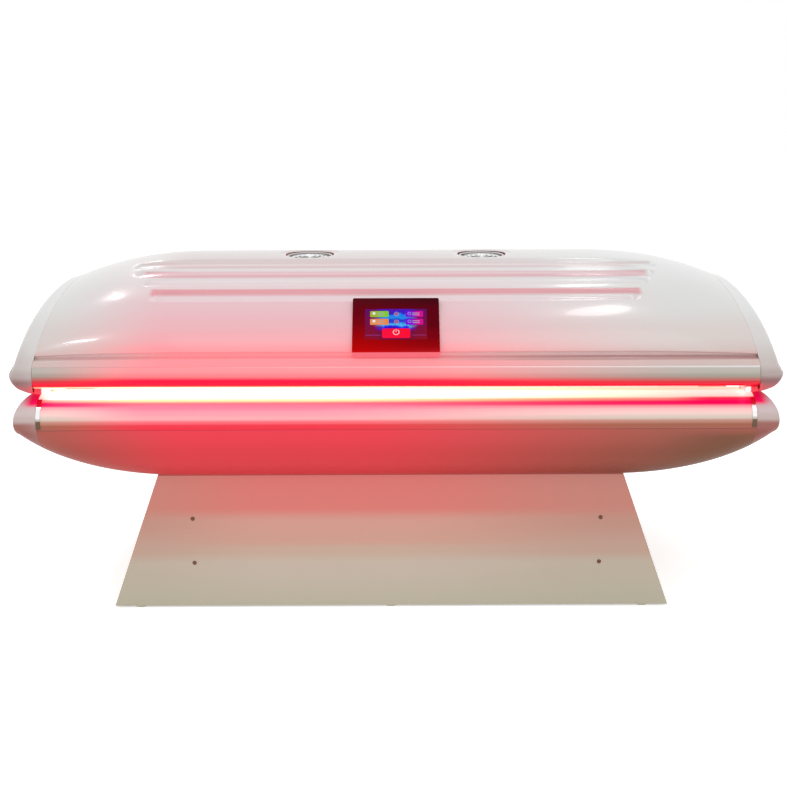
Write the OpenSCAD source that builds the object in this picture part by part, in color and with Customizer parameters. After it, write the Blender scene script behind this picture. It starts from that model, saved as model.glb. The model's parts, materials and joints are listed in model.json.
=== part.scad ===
// Red light therapy bed: a shallow tub on a narrow pedestal and a hinged canopy over it.
// Origin on the floor under the middle of the bed, X along its length, front at -Y, +Z up.
// All sizes are in millimetres.

/* [Overall] */
// Half depth of tub and canopy from the middle to the front face
half_depth = 440; // [430:1:450]
// Half length of the canopy
canopy_half_length = 957; // [930:1:1000]
// Half length of the tub before its rounded end
tub_half_length = 937; // [910:1:980]
// Height of the pedestal
pedestal_height = 370; // [340:1:400]
// Height of the tub from its floor to its widest line
tub_depth = 162; // [150:1:175]
// Height of the tub's rails above its widest line
rail_rise = 66; // [62:1:70]
// Gap between the rails of tub and canopy
deck_gap = 24; // [22:0.5:26]
// Rise of the canopy's crown above its widest line
crown_rise = 277; // [255:1:300]
// Width of the rails from the front face to the opening over the acrylic
rail_width = 97; // [95:1:100]

/* [Canopy form] */
// Share of its height that the canopy keeps at the ends
end_scale = 0.676; // [0.6:0.01:0.8]
// Share of the half length at which the crown line begins to fall
bend_start = 0.577; // [0.45:0.01:0.65]
// How late the crown line falls
bend_power = 2.28; // [1.8:0.05:2.6]
// Height above the widest line from which the canopy's sections get lower towards the ends
bend_rise = 60; // [58:1:64]
// How far the crown leans in at the ends
canopy_lean = 35.7; // [20:1:45]
// Height above the widest line from which the ends lean in
lean_rise = 20; // [16:1:24]
// Radius of the rounded edge round each canopy end
end_round = 30; // [20:1:34]
// Place of the seam between shell and end caps, as a share of the length
seam_s = 0.974; // [0.968:0.001:0.978]
// Thickness of the moulded canopy shell
shell_wall = 3.5; // [2.5:0.5:4.5]
// Thickness of the moulded end caps
cap_wall = 4; // [3:0.5:5]

/* [Grooves] */
// Number of air grooves on each side of the crown
groove_count = 4; // [2:1:4]
// Angle from the crown to the lowest groove
groove_first = 41.2; // [40:0.2:42]
// Angle between neighbouring grooves
groove_pitch = 8.7; // [8.4:0.1:9]
// Half width of a groove as an angle
groove_half = 3.4; // [2.6:0.1:3.8]
// Half width of a groove's flat bottom as an angle
groove_flat = 1.3; // [0.8:0.1:1.6]
// Depth of a groove
groove_depth = 8; // [4:0.5:10]
// Half length of the lowest groove
groove_length = 626; // [560:1:640]

/* [Tub form] */
// Width of the tub's curved sides
tub_side_width = 110; // [104:1:116]
// Distance from the middle at which the floor begins to rise
floor_start = 561; // [545:1:570]
// How far beyond the tub's end the rising floor would reach the widest line
floor_overrun = 18; // [14:1:24]
// Roundness of the rising floor
floor_power = 1.95; // [1.8:0.05:2.1]
// Distance of the seam between tub shell and rails below the widest line
seam_drop = 14; // [12:1:16]
// Length of the tub's end caps before their rounded ends
tub_cap_length = 50; // [46:1:56]
// How much the rims of the end caps stand higher than the rails
cap_rise = 2; // [1:0.5:3]
// How far the top of a tub end leans in
tub_end_lean = 40; // [30:1:44]
// Radius of the rounded edge round each tub end
tub_round = 8; // [6:1:10]
// Thickness of shell and rails of the tub
tub_wall = 3; // [2:0.5:3.5]
// Depth of the sill at the tub's ends below the rails
sill_drop = 98; // [92:1:100]

/* [Lying surface] */
// Depth of the curved acrylic sheets
basin_sag = 129; // [120:1:132]
// Thickness of the acrylic sheets
acrylic_thickness = 5; // [4:0.5:6]
// Distance from the acrylic to the light trays
light_gap = 24; // [18:1:26]
// Thickness of the aluminium light trays
tray_thickness = 2; // [1.5:0.5:2]
// Distance of the light trays from the ends of the rails
tray_inset = 107; // [104:1:160]
// Angle between the edges of the acrylic sheets and the edges of the light trays
tray_edge_angle = 5.2; // [4.5:0.1:8]
// Number of light boards on each tray
board_count = 9; // [5:2:9]
// Width of a light board
board_width = 60; // [50:1:62]
// Thickness of a light board
board_thickness = 1.6; // [1:0.2:2]
// Thickness of the plywood ribs
rib_thickness = 15; // [9:1:21]

/* [Hinge and springs] */
// Distance of the hinge line in front of the rear face
hinge_inset = 10; // [9:0.5:12]
// Distance of the hinges from the middle
hinge_x = 620; // [560:1:660]
// Radius of the hinge pins
hinge_pin_r = 5; // [4:0.5:6]
// Distance of the gas springs from the ends of the rails
spring_inset = 67; // [60:1:72]
// Distance of the spring pivots behind the edge of the opening
spring_offset = 17; // [16:1:19]
// Depth of the lower spring pivot below the top of the tub's rails
spring_drop = 98; // [94:1:102]
// Height of the upper spring pivot above the canopy's widest line
spring_rise = 40; // [38:1:43]
// Outer radius of the spring tubes
spring_tube_r = 11; // [9:0.5:11]
// Radius of the spring rods
spring_rod_r = 5; // [4:0.5:5]

/* [Fans] */
// Distance of the canopy fans from the middle
canopy_fan_x = 235; // [200:1:260]
// Distance of the canopy fans in front of the middle
canopy_fan_y = 20; // [0:1:30]
// Distance of the tub fans from the middle
tub_fan_x = 300; // [270:1:340]
// Width of the square fan frames
fan_size = 120; // [110:1:120]
// Height of the fan frames
fan_height = 38; // [30:1:38]
// Distance from the edge of a canopy fan to the wall of its well
well_margin = 2; // [1:0.5:5]

/* [Control panel] */
// Width of the control panel
panel_width = 215; // [180:1:225]
// Height of the control panel
panel_height = 159; // [150:1:160]
// Angle from the crown to the middle of the control panel
panel_angle = 58.25; // [57:0.25:60]
// How far the control panel's face stands off the canopy
panel_stand = 5.4; // [4:0.2:8]
// Tilt of the control panel from the horizontal
panel_tilt = 45.5; // [44:0.5:47]
// Width of the display
display_width = 153; // [120:1:160]
// Height of the display
display_height = 89; // [70:1:95]

/* [Pedestal] */
// Half length of the pedestal at the floor
pedestal_half_bottom = 730; // [720:1:760]
// Half length of the pedestal at the top
pedestal_half_top = 599; // [597:1:610]
// Half depth of the pedestal
pedestal_half_depth = 340; // [337:1:345]
// How far the pedestal stands to the left of the middle
pedestal_shift = 15; // [5:1:18]
// Thickness of the pedestal's sheets
pedestal_sheet = 3; // [2:0.5:4]
// Gap between pedestal sheets and floor
foot_gap = 5; // [3:1:8]
// Width of the square steel tubes
tube_size = 40; // [35:1:40]
// Wall of the square steel tubes
tube_wall = 3; // [2:0.5:4]
// Distance of the outer screws from the upper corners of the pedestal
screw_inset = 69; // [64:1:80]

/* [Hidden] */
$fn = 48;

// Play between pieces that are seated in or on each other
seat = 0.3;

// Heights, from the floor up
tub_widest_z = pedestal_height + tub_depth;
rail_seam_z = tub_widest_z - seam_drop;
tub_rail_top = tub_widest_z + rail_rise;
sill_z = tub_rail_top - sill_drop;
canopy_deck_z = tub_rail_top + deck_gap;
hinge_z = tub_rail_top + deck_gap / 2;
deck_rise = 2;
widest_z = canopy_deck_z - deck_rise;
bend_z = widest_z + bend_rise;
lean_z = widest_z + lean_rise;
crown_z = widest_z + crown_rise;
spring_low_z = tub_rail_top - spring_drop;
spring_high_z = widest_z + spring_rise;

// Distances from the middle to the front and to the rear
floor_half = half_depth - tub_side_width;
basin_half = half_depth - rail_width;
hinge_y = half_depth - hinge_inset;
spring_y = basin_half + spring_offset;

// Distances from the middle to the left and to the right
straight_half = canopy_half_length - end_round;
tub_seam_x = tub_half_length - tub_cap_length;
floor_run = tub_half_length + floor_overrun - floor_start;
screw_x = pedestal_half_top - screw_inset;

acrylic_r = (basin_half * basin_half + basin_sag * basin_sag) / (2 * basin_sag);
acrylic_angle = asin(basin_half / acrylic_r);
acrylic_rise = acrylic_r * cos(acrylic_angle);
tray_angle = acrylic_angle - tray_edge_angle;
tray_r = acrylic_r + acrylic_thickness + light_gap;
tray_back_r = tray_r + tray_thickness;

// Drop of the ellipse's rows that the whole canopy follows
function droop(s) = 1 - (1 - end_scale) * pow(max(0, (abs(s) - bend_start) / (1 - bend_start)), bend_power);
function bent_z(z, s) = z > bend_z ? bend_z + (z - bend_z) * droop(s) : z;
function lean(z) = canopy_lean * sqrt(max(0, (z - lean_z) / (crown_z - lean_z)));
function arch_y(z) = half_depth * sqrt(max(0, 1 - pow((z - widest_z) / crown_rise, 2)));
function arch(t, inset) =
    let (n = [sin(t) / half_depth, cos(t) / crown_rise], u = n / norm(n))
    [half_depth * sin(t) - inset * u[0], widest_z + crown_rise * cos(t) - inset * u[1]];
// A point of the canopy from its place along the length and its point in the middle section
function canopy_point(s, p) = [s * (straight_half - lean(p[1])), p[0], bent_z(p[1], s)];

// Rows of the shell as angles from the crown, rows of the grooves first
arch_edge = 71;
groove_rows = [
    for (i = [0:groove_count - 1]) let (c = groove_first - i * groove_pitch)
        each [c + groove_half, c + groove_flat, c - groove_flat, c - groove_half]
];
last_groove = groove_rows[len(groove_rows) - 1];
side_rows = concat(
    [arch_edge, 66, 61, 56, 50],
    groove_rows,
    [for (k = [1:groove_count == 4 ? 2 : 4]) last_groove * (1 - k / (groove_count == 4 ? 3 : 5))]
);
shell_rows = concat([for (t = side_rows) -t], [0], [for (i = [len(side_rows) - 1:-1:0]) side_rows[i]]);
groove_end_r = half_depth * cos(groove_first) * groove_half * PI / 180 * 1.15;
function groove_half_length(i) = groove_length + 49.5 * i - 7 * i * i;
function groove_fall(t, x, i) =
    let (
        across = abs(abs(t) - (groove_first - i * groove_pitch)) / groove_half,
        along = max(0, abs(x) - groove_half_length(i) + groove_end_r) / groove_end_r,
        reach = sqrt(across * across + along * along),
        flat = groove_flat / groove_half
    )
    groove_depth * max(0, min(1, (1 - reach) / (1 - flat)));
function groove_at(t, x) = max([for (i = [0:groove_count - 1]) groove_fall(t, x, i)]);

// Lower edge of the shell: a soft cove and a flange under it
cove_depth = 34;
cove_step = 4.2;
cove_height = 7;
flange_height = 18;
cove_y = half_depth - cove_depth;
cove_top = arch(arch_edge, 0)[1] - cove_step;
cove_bottom = cove_top - cove_height;
flange_top = cove_bottom - 5;
flange_bottom = flange_top - flange_height;
flange_foot_y = arch_y(flange_bottom) - shell_wall;
lower_rows = [
    [[arch_y(flange_bottom), flange_bottom], [flange_foot_y, flange_bottom]],
    [[arch_y(flange_top), flange_top], [arch_y(flange_top) - 0.2, flange_top - shell_wall]],
    [[cove_y, cove_bottom], [cove_y - shell_wall, cove_bottom - 3]],
    [[cove_y, cove_top], [cove_y - shell_wall, cove_top + shell_wall]]
];
function front(p) = [-p[0], p[1]];
// Columns of the shell, close together where the grooves end
groove_zone_start = groove_length - 86;
groove_zone_end = groove_length + 114;
seam_zone = seam_s * straight_half - groove_zone_end;
shell_x = concat(
    [0, groove_zone_start * 0.55, groove_zone_start],
    [for (k = [0:6]) groove_zone_start + 50 + 20 * k],
    [for (k = [0:3]) groove_zone_end + seam_zone * k / 4]
);
shell_s = concat([for (x = shell_x) x / straight_half], [seam_s]);
shell_columns = concat([for (i = [len(shell_s) - 1:-1:1]) -shell_s[i]], shell_s);
function shell_column(s, inner) = concat(
    [for (r = lower_rows) canopy_point(s, front(r[inner]))],
    [
        for (t = shell_rows)
            let (
                fall = groove_at(t, s * (straight_half - lean(arch(t, 0)[1]))),
                limit = arch_edge - inner * 0.8,
                a = max(-limit, min(limit, t))
            )
            canopy_point(s, arch(a, inner * shell_wall + fall))
    ],
    [for (i = [len(lower_rows) - 1:-1:0]) canopy_point(s, lower_rows[i][inner])]
);

// A thin skin between an outer and an inner grid of points
module skin(outer, inner) {
    n = len(outer);
    m = len(outer[0]);
    back = n * m;
    outside = [
        for (i = [0:n - 2], j = [0:m - 2]) let (a = i * m + j)
            each [[a, a + 1, a + m + 1], [a, a + m + 1, a + m]]
    ];
    inside = [for (f = outside) [back + f[0], back + f[2], back + f[1]]];
    ends = [
        for (j = [0:m - 2]) let (a = j, c = (n - 1) * m + j)
            each [
                [a + 1, a, back + a], [a + 1, back + a, back + a + 1],
                [c, c + 1, back + c + 1], [c, back + c + 1, back + c]
            ]
    ];
    edges = [
        for (i = [0:n - 2]) let (a = i * m, c = i * m + m - 1)
            each [
                [a, a + m, back + a + m], [a, back + a + m, back + a],
                [c + m, c, back + c], [c + m, back + c, back + c + m]
            ]
    ];
    polyhedron(
        points = concat([for (c = outer) each c], [for (c = inner) each c]),
        faces = concat(outside, inside, ends, edges)
    );
}

// A solid through closed sections that follow each other along X
module loft(sections) {
    n = len(sections);
    m = len(sections[0]);
    last = (n - 1) * m;
    sides = [
        for (i = [0:n - 2], k = [0:m - 1]) let (a = i * m + k, b = i * m + (k + 1) % m)
            each [[a, b, b + m], [a, b + m, a + m]]
    ];
    strips = [
        for (k = [0:floor((m - 3) / 2)])
            each (k + 1 == m - 2 - k
                ? [[k, m - 1 - k, k + 1]]
                : [[k, m - 1 - k, m - 2 - k], [k, m - 2 - k, k + 1]])
    ];
    far = [for (f = strips) [last + f[0], last + f[2], last + f[1]]];
    polyhedron(points = [for (s = sections) each s], faces = concat(sides, strips, far));
}

// A bar with a section in Y and Z, drawn out along X
module bar(x0, x1, section) {
    translate([x0, 0, 0]) rotate([90, 0, 90]) linear_extrude(x1 - x0) polygon(section);
}
module block(x0, x1, y0, y1, z0, z1) {
    translate([x0, y0, z0]) cube([x1 - x0, y1 - y0, z1 - z0]);
}
module at_both_ends() {
    children();
    mirror([1, 0, 0]) children();
}
function mirror_y(list) = [for (i = [len(list) - 1:-1:0]) [-list[i][0], list[i][1]]];
function arc(cy, cz, r, a0, a1, steps) =
    [for (i = [0:steps]) let (a = a0 + (a1 - a0) * i / steps) [cy + r * sin(a), cz + r * cos(a)]];

// Rows and columns of the tub
nose_inset = 15;
nose_rise = 8;
nose_y = basin_half + nose_inset;
nose_z = tub_widest_z + nose_rise;
nose_proud = 2;
nose_width = half_depth + nose_proud - nose_y;
function floor_rise(x) =
    abs(x) <= floor_start ? 1 : pow(1 - pow((abs(x) - floor_start) / floor_run, floor_power), 1 / floor_power);
function tub_low(a, x, inset) = [
    floor_half + (half_depth + nose_proud - floor_half - inset) * cos(a),
    tub_widest_z - (tub_widest_z - pedestal_height - inset) * sin(a) * floor_rise(x)
];
function nose(a, top, inset) =
    [nose_y + (nose_width - inset) * cos(a), nose_z + (top - nose_z - inset) * sin(a)];
function seam_angle(x, inset) =
    asin((tub_widest_z - rail_seam_z) / ((tub_widest_z - pedestal_height - inset) * floor_rise(x)));
tub_steps = 10;
tub_x = [
    for (i = [0:tub_steps]) let (k = i / tub_steps)
        floor_start + (tub_seam_x - floor_start) * k * (1.4 - 0.4 * k)
];
tub_rows = 9;
tub_columns = concat([for (i = [len(tub_x) - 1:-1:0]) -tub_x[i]], tub_x);
function tub_column(x, inner) =
    let (
        inset = inner * tub_wall,
        a0 = seam_angle(x, inset),
        half = [for (i = [0:tub_rows]) tub_low(90 + (a0 - 90) * i / tub_rows, x, inset)]
    )
    concat([for (i = [tub_rows:-1:0]) [x, half[i][0], half[i][1]]], [for (p = half) [x, -p[0], p[1]]]);

// Closed sections of a tub end cap from its seam outwards
tub_end_full = tub_half_length + tub_round;
cap_top = tub_rail_top + cap_rise;
cap_mid_rise = 5;
cap_mid_z = nose_z + cap_mid_rise;
cap_half_height = cap_top - nose_z;
function tub_lean(z) =
    let (k = max(0, (z - tub_widest_z) / (cap_top - tub_widest_z)))
    tub_end_lean * (1 - sqrt(max(0, 1 - k * k)));
cap_half = concat(
    [for (i = [0:9]) [0, 90 - 10 * i]],
    [for (i = [0:7]) [1, i * 90 / 7]]
);
function tub_cap_row(h, x) = h[0] == 0 ? tub_low(h[1], x, 0) : nose(h[1], cap_top, 0);
function tub_cap_section(u, phi, wall) =
    let (
        x = tub_seam_x + u * (tub_half_length - tub_seam_x),
        share = wall / tub_round,
        turn = share + (1 - share) * (1 - cos(phi)),
        half = [
            for (h = cap_half)
                let (
                    p = tub_cap_row(h, x),
                    shrink = 1 - tub_round / cap_half_height,
                    q = [p[0] * (1 - tub_round / half_depth), cap_mid_z + (p[1] - cap_mid_z) * shrink],
                    px = tub_seam_x + u * (tub_half_length - tub_lean(p[1]) - tub_seam_x)
                )
                [
                    px + (tub_round - wall) * sin(phi) - (u == 0 && wall > 0 ? 1 : 0),
                    p[0] + (q[0] - p[0]) * turn,
                    p[1] + (q[1] - p[1]) * turn
                ]
        ]
    )
    concat([for (p = half) [p[0], -p[1], p[2]]], [for (i = [len(half) - 1:-1:0]) half[i]]);
module tub_cap_solid(wall) {
    loft(concat(
        [for (u = [0, 0.34, 0.67]) tub_cap_section(u, 0, wall)],
        [for (phi = [0, 30, 60, 90]) tub_cap_section(1, phi, wall)]
    ));
}
// How far a cutting shape goes past the piece that it cuts
cut_reach = 20;
// The open hollow of the basin over a tub end, grown by the cap's wall where it is cut from the cavity
basin_edge_z = tub_rail_top - tub_wall - seat;
function basin_section(x, bottom, grow) =
    let (
        sag = basin_edge_z - bottom,
        r = (basin_half * basin_half + sag * sag) / (2 * sag),
        edge = asin(basin_half / r),
        low = [
            for (i = [1:10]) let (a = edge * i / 10)
                [(r + grow) * sin(a), bottom + r - (r + grow) * cos(a)]
        ],
        high = cap_top + cut_reach
    )
    concat(
        [for (p = low) [x, -p[0], p[1]]],
        [[x, -basin_half - grow, high], [x, basin_half + grow, high]],
        [for (i = [9:-1:0]) [x, low[i][0], low[i][1]]]
    );
tub_bottom_z = basin_edge_z - basin_sag;
module basin_cut(grow) {
    rise = (sill_z - tub_bottom_z) / (tub_end_full - tub_seam_x);
    loft([
        basin_section(tub_seam_x - cut_reach / 2, tub_bottom_z - cut_reach / 2 * rise, grow),
        basin_section(tub_end_full + cut_reach / 2, sill_z + cut_reach / 2 * rise, grow)
    ]);
}

// Closed sections of a canopy end cap from its seam outwards
corner_width = 15;
corner_height = 14;
canopy_bottom = widest_z - corner_height;
// The rounded edge of a cap rolls in towards a line this far under the widest line
roll_drop = 70;
roll_centre = widest_z - roll_drop;
cap_angles = [90, 84, 77.4, 71, 64, 57, 50, 43, 36, 29, 22, 15, 7.5];
canopy_cap_half = concat(
    [
        for (a = [0, 30, 60])
            [half_depth - corner_width * (1 - sin(a)), canopy_bottom + corner_height * (1 - cos(a))]
    ],
    [for (t = cap_angles) arch(t, 0)],
    [[0, crown_z]]
);
function rolled(p) =
    let (
        reach = norm([arch_y(bend_z), bend_z - roll_centre]),
        limit = roll_centre + (bend_z - roll_centre) * (1 - end_round / reach)
    )
    p[1] > bend_z
        ? let (v = [p[0], p[1] - roll_centre], k = 1 - end_round / norm(v)) [v[0] * k, roll_centre + v[1] * k]
        : [
            p[0] - end_round,
            canopy_bottom + end_round
                + (p[1] - canopy_bottom) * (limit - canopy_bottom - end_round) / (bend_z - canopy_bottom)
        ];
seam_gap = 0.5;
function canopy_cap_section(s, phi, wall) =
    let (
        share = wall / end_round,
        turn = share + (1 - share) * (1 - cos(phi)),
        half = [
            for (c = canopy_cap_half)
                let (
                    p = [c[0], bent_z(c[1], s)],
                    q = rolled(p),
                    k = (s - seam_s) / (1 - seam_s),
                    lean_at = lean(max(c[1], flange_bottom)) * (1 - k) + lean(c[1]) * k,
                    x = s * (straight_half - lean_at) + (s > seam_s ? 0 : wall > 0 ? -1 : seam_gap)
                )
                [
                    x + (end_round - wall) * sin(phi),
                    p[0] + (q[0] - p[0]) * turn,
                    p[1] + (q[1] - p[1]) * turn
                ]
        ],
        last = len(half) - 2
    )
    concat([for (p = half) [p[0], -p[1], p[2]]], [for (i = [last:-1:0]) half[i]]);
module canopy_cap_solid(wall) {
    loft(concat(
        [for (s = [seam_s, (1 + seam_s) / 2]) canopy_cap_section(s, 0, wall)],
        [for (phi = [0, 18, 36, 54, 72, 90]) canopy_cap_section(1, phi, wall)]
    ));
}
canopy_edge_z = canopy_deck_z + tub_wall + seat + acrylic_thickness * cos(acrylic_angle);
canopy_arc_z = canopy_edge_z - acrylic_rise;
tunnel_r = acrylic_r + acrylic_thickness + seat;
tunnel_margin = 2;
module tunnel_cut(r, x0, x1) {
    half = basin_half + tunnel_margin;
    angle = asin(half / r);
    bar(x0, x1, concat(
        [[-half, canopy_bottom - cut_reach / 2]],
        arc(0, canopy_arc_z, r, -angle, angle, 28),
        [[half, canopy_bottom - cut_reach / 2]]
    ));
}

// Pedestal: a welded frame of square tubes behind four sheets
frame_bottom = 20;
// Room between the ends of the tube rings and the slanted sheets
ring_low_play = 4;
ring_high_play = 6;
frame_inner = pedestal_half_depth - pedestal_sheet;
frame_front = frame_inner - tube_size;
slope = (pedestal_half_bottom - pedestal_half_top) / (pedestal_height - foot_gap);
ring_low_top = frame_bottom + tube_size;
ring_low = pedestal_half_bottom - slope * (ring_low_top - foot_gap) - pedestal_sheet - ring_low_play;
ring_high = pedestal_half_top - pedestal_sheet - ring_high_play;
top_ring_z = pedestal_height - tube_size;
// Distance of the inner posts from the middle of the pedestal
post_x = 180;
// Screws that hold the sheets to the posts
screw_low_z = 126;
screw_high_z = 248.5;
screw_r = 2.5;
screw_play = 0.1;
screw_head_r = 6;
screw_head_height = 2.5;
screw_reach = tube_wall + pedestal_sheet + 6;
// A square tube between two corners, open along the axis that its third value names
module tube(low, high, along) {
    wall = [for (axis = [0:2]) axis == along ? -1 : tube_wall];
    difference() {
        translate(low) cube(high - low);
        translate(low + wall) cube(high - low - 2 * wall);
    }
}
module tube_x(x0, x1, y, z) {
    tube([x0, y, z], [x1, y + tube_size, z + tube_size], 0);
}
module tube_y(x, y0, y1, z) {
    tube([x, y0, z], [x + tube_size, y1, z + tube_size], 1);
}
module tube_z(x, y, z0, z1) {
    tube([x, y, z0], [x + tube_size, y + tube_size, z1], 2);
}
module cross_tube(x, z) {
    tube_y(x - pedestal_shift - tube_size / 2, -frame_front, frame_front, z);
}
module at_screws(y) {
    for (x = [-screw_x, screw_x], z = [screw_low_z, screw_high_z]) translate([x, y, z]) children();
}
module screw_holes() {
    at_screws(0) rotate([90, 0, 0])
        cylinder(h = 2 * pedestal_half_depth + 2, r = screw_r + screw_play, center = true);
}
module base_frame() {
    color("dimgray") difference() {
        union() {
            for (y = [-frame_inner, frame_front]) {
                tube_x(-pedestal_shift - ring_low, -pedestal_shift + ring_low, y, frame_bottom);
                tube_x(-pedestal_shift - ring_high, -pedestal_shift + ring_high, y, top_ring_z);
                for (x = [-screw_x, screw_x, -pedestal_shift - post_x, -pedestal_shift + post_x])
                    tube_z(x - tube_size / 2, y, ring_low_top, top_ring_z);
            }
            for (side = [-1, 1]) {
                cross_tube(side * (ring_low - tube_size / 2), frame_bottom);
                cross_tube(side * (ring_high - tube_size / 2), top_ring_z);
                cross_tube(side * post_x, frame_bottom);
                cross_tube(side * post_x, top_ring_z);
            }
        }
        screw_holes();
    }
}
// Front and rear sheets are trapezia that carry the slanted side sheets between them
module pedestal_face() {
    polygon([
        [-pedestal_half_bottom, foot_gap], [pedestal_half_bottom, foot_gap],
        [pedestal_half_top, pedestal_height], [-pedestal_half_top, pedestal_height]
    ]);
}
module face_sheet(y) {
    translate([-pedestal_shift, y, 0]) rotate([90, 0, 0]) linear_extrude(pedestal_sheet) pedestal_face();
}
module base_front_panel() {
    color("silver") difference() {
        face_sheet(-pedestal_half_depth + pedestal_sheet);
        screw_holes();
    }
}
// Mains inlet in the rear sheet
inlet_x = 350;
inlet_z = 150;
inlet_w = 48;
inlet_h = 28;
// Two stacks of vent slots in the rear sheet
vent_count = 8;
vent_pitch = 14;
vent_height = 6;
vent_width = 90;
vent_offset = 60;
vent_low_z = 160;
// A block with its middle at a place in X and Z
module block_at(x, z, w, h, y0, y1) {
    block(x - w / 2, x + w / 2, y0, y1, z - h / 2, z + h / 2);
}
module rear_opening(x, z, w, h) {
    block_at(x, z, w, h, pedestal_half_depth - cut_reach, pedestal_half_depth + 1);
}
module base_rear_panel() {
    color("silver") difference() {
        face_sheet(pedestal_half_depth);
        screw_holes();
        rear_opening(inlet_x, inlet_z, inlet_w, inlet_h);
        for (side = [-1, 1], k = [0:vent_count - 1])
            rear_opening(
                side * vent_offset - pedestal_shift, vent_low_z + vent_pitch * k + vent_height / 2,
                vent_width, vent_height
            );
    }
}
module side_sheet() {
    translate([-pedestal_shift, pedestal_half_depth - pedestal_sheet, 0]) rotate([90, 0, 0])
        linear_extrude(2 * (pedestal_half_depth - pedestal_sheet))
            polygon([
                [pedestal_half_bottom, foot_gap], [pedestal_half_top, pedestal_height],
                [pedestal_half_top - pedestal_sheet, pedestal_height],
                [pedestal_half_bottom - pedestal_sheet, foot_gap]
            ]);
}
module base_left_panel() {
    color("silver") translate([-2 * pedestal_shift, 0, 0]) mirror([1, 0, 0]) side_sheet();
}
module base_right_panel() {
    color("silver") side_sheet();
}
foot_r = 20;
foot_h = 8;
foot_stem_r = 5;
module levelling_feet() {
    color("black") for (x = [-1, 0, 1], y = [-1, 1])
        translate([-pedestal_shift + x * (ring_low - tube_size), y * (frame_inner - tube_size / 2), 0]) {
            cylinder(h = foot_h, r = foot_r);
            cylinder(h = frame_bottom, r = foot_stem_r);
        }
}
module panel_screws() {
    color("gray") for (side = [-1, 1]) at_screws(side * pedestal_half_depth) rotate([side * -90, 0, 0]) {
        cylinder(h = screw_head_height, r = screw_head_r);
        translate([0, 0, -screw_reach]) cylinder(h = screw_reach + 1, r = screw_r);
    }
}
floor_tray_z = ring_low_top;
tray_sheet = 2;
tray_end_play = 10;
module floor_tray() {
    color("gainsboro") block(
        -pedestal_shift - ring_low + tray_end_play, -pedestal_shift + ring_low - tray_end_play,
        -frame_front + seat, frame_front - seat, floor_tray_z, floor_tray_z + tray_sheet
    );
}
// Power supplies: a finned case with a lower terminal shelf at its right end
supply_x = 360;
supply_y = -110;
supply_half_depth = 58;
supply_height = 40;
supply_left = -108;
supply_right = 96;
shelf_end = 110;
shelf_half_depth = 50;
shelf_height = 22;
fin_pitch = 6;
fin_gap = 3;
fin_depth = 2;
fin_margin = 27;
module power_supply(side) {
    place = [side * supply_x - pedestal_shift, supply_y, floor_tray_z + tray_sheet];
    color("lightgray") translate(place) difference() {
        union() {
            block(supply_left, supply_right, -supply_half_depth, supply_half_depth, 0, supply_height);
            block(supply_right, shelf_end, -shelf_half_depth, shelf_half_depth, 0, shelf_height);
        }
        for (k = [-7:7])
            block(
                supply_left + fin_margin, supply_right - fin_margin,
                fin_pitch * k - fin_gap / 2, fin_pitch * k + fin_gap / 2,
                supply_height - fin_depth, supply_height + 1
            );
    }
}
module power_supply_left() {
    power_supply(-1);
}
module power_supply_right() {
    power_supply(1);
}
// Control box with its lid and a row of cable glands in front
box_y = 110;
box_half_length = 130;
box_half_depth = 80;
box_height = 58;
lid_inset = 4;
lid_height = 4;
gland_count = 5;
gland_pitch = 40;
gland_r = 9;
gland_length = 14;
gland_z = 30;
module control_box() {
    color("darkslategray") translate([-pedestal_shift, box_y, floor_tray_z + tray_sheet]) {
        block(-box_half_length, box_half_length, -box_half_depth, box_half_depth, 0, box_height);
        block(
            -box_half_length + lid_inset, box_half_length - lid_inset,
            -box_half_depth + lid_inset, box_half_depth - lid_inset,
            box_height, box_height + lid_height
        );
        for (k = [0:gland_count - 1])
            translate([(k - (gland_count - 1) / 2) * gland_pitch, -box_half_depth, gland_z])
                rotate([90, 0, 0]) cylinder(h = gland_length, r = gland_r);
    }
}
// Mains inlet with a rocker switch beside its three-pin socket
inlet_depth = 26;
inlet_rim = 4;
inlet_rim_height = 2.5;
socket_x = inlet_x + 9;
socket_w = 22;
socket_h = 18;
socket_depth = 16;
blade_pitch = 6;
blade_w = 2;
blade_h = 3;
blade_length = 14;
blade_rise = 2.5;
rocker_x = inlet_x - 14;
rocker_well_w = 18;
rocker_well_h = 14;
rocker_well_depth = 12;
rocker_pin_y = pedestal_half_depth - 2.5;
rocker_pin_r = 1.5;
rocker_pin_length = 15;
rocker_width = 13.2;
rocker_play = 0.05;
module inlet_block(x, z, w, h, depth, reach) {
    block_at(x, z, w, h, pedestal_half_depth - depth, pedestal_half_depth + reach);
}
module power_inlet() {
    rim = 2 * inlet_rim;
    color("black") difference() {
        union() {
            inlet_block(inlet_x, inlet_z, inlet_w - 2 * seat, inlet_h - 2 * seat, inlet_depth, 0);
            inlet_block(inlet_x, inlet_z, inlet_w + rim, inlet_h + rim, 0, inlet_rim_height);
        }
        inlet_block(socket_x, inlet_z, socket_w, socket_h, socket_depth, inlet_rim_height + 1);
        inlet_block(rocker_x, inlet_z, rocker_well_w, rocker_well_h, rocker_well_depth, inlet_rim_height + 1);
    }
    color("silver") for (k = [-1, 0, 1])
        inlet_block(
            socket_x + blade_pitch * k, inlet_z + (k == 0 ? blade_rise : -blade_rise),
            blade_w, blade_h, socket_depth + 1, blade_length - socket_depth - 1
        );
    color("silver") translate([rocker_x, rocker_pin_y, inlet_z])
        cylinder(h = rocker_pin_length, r = rocker_pin_r, center = true);
}
rocker_section = [[-7.2, 2.6], [0, 4.1], [7.2, 5.4], [6.6, -1], [2.5, -4.5], [-2.5, -4.5], [-6.6, -2]];
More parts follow.
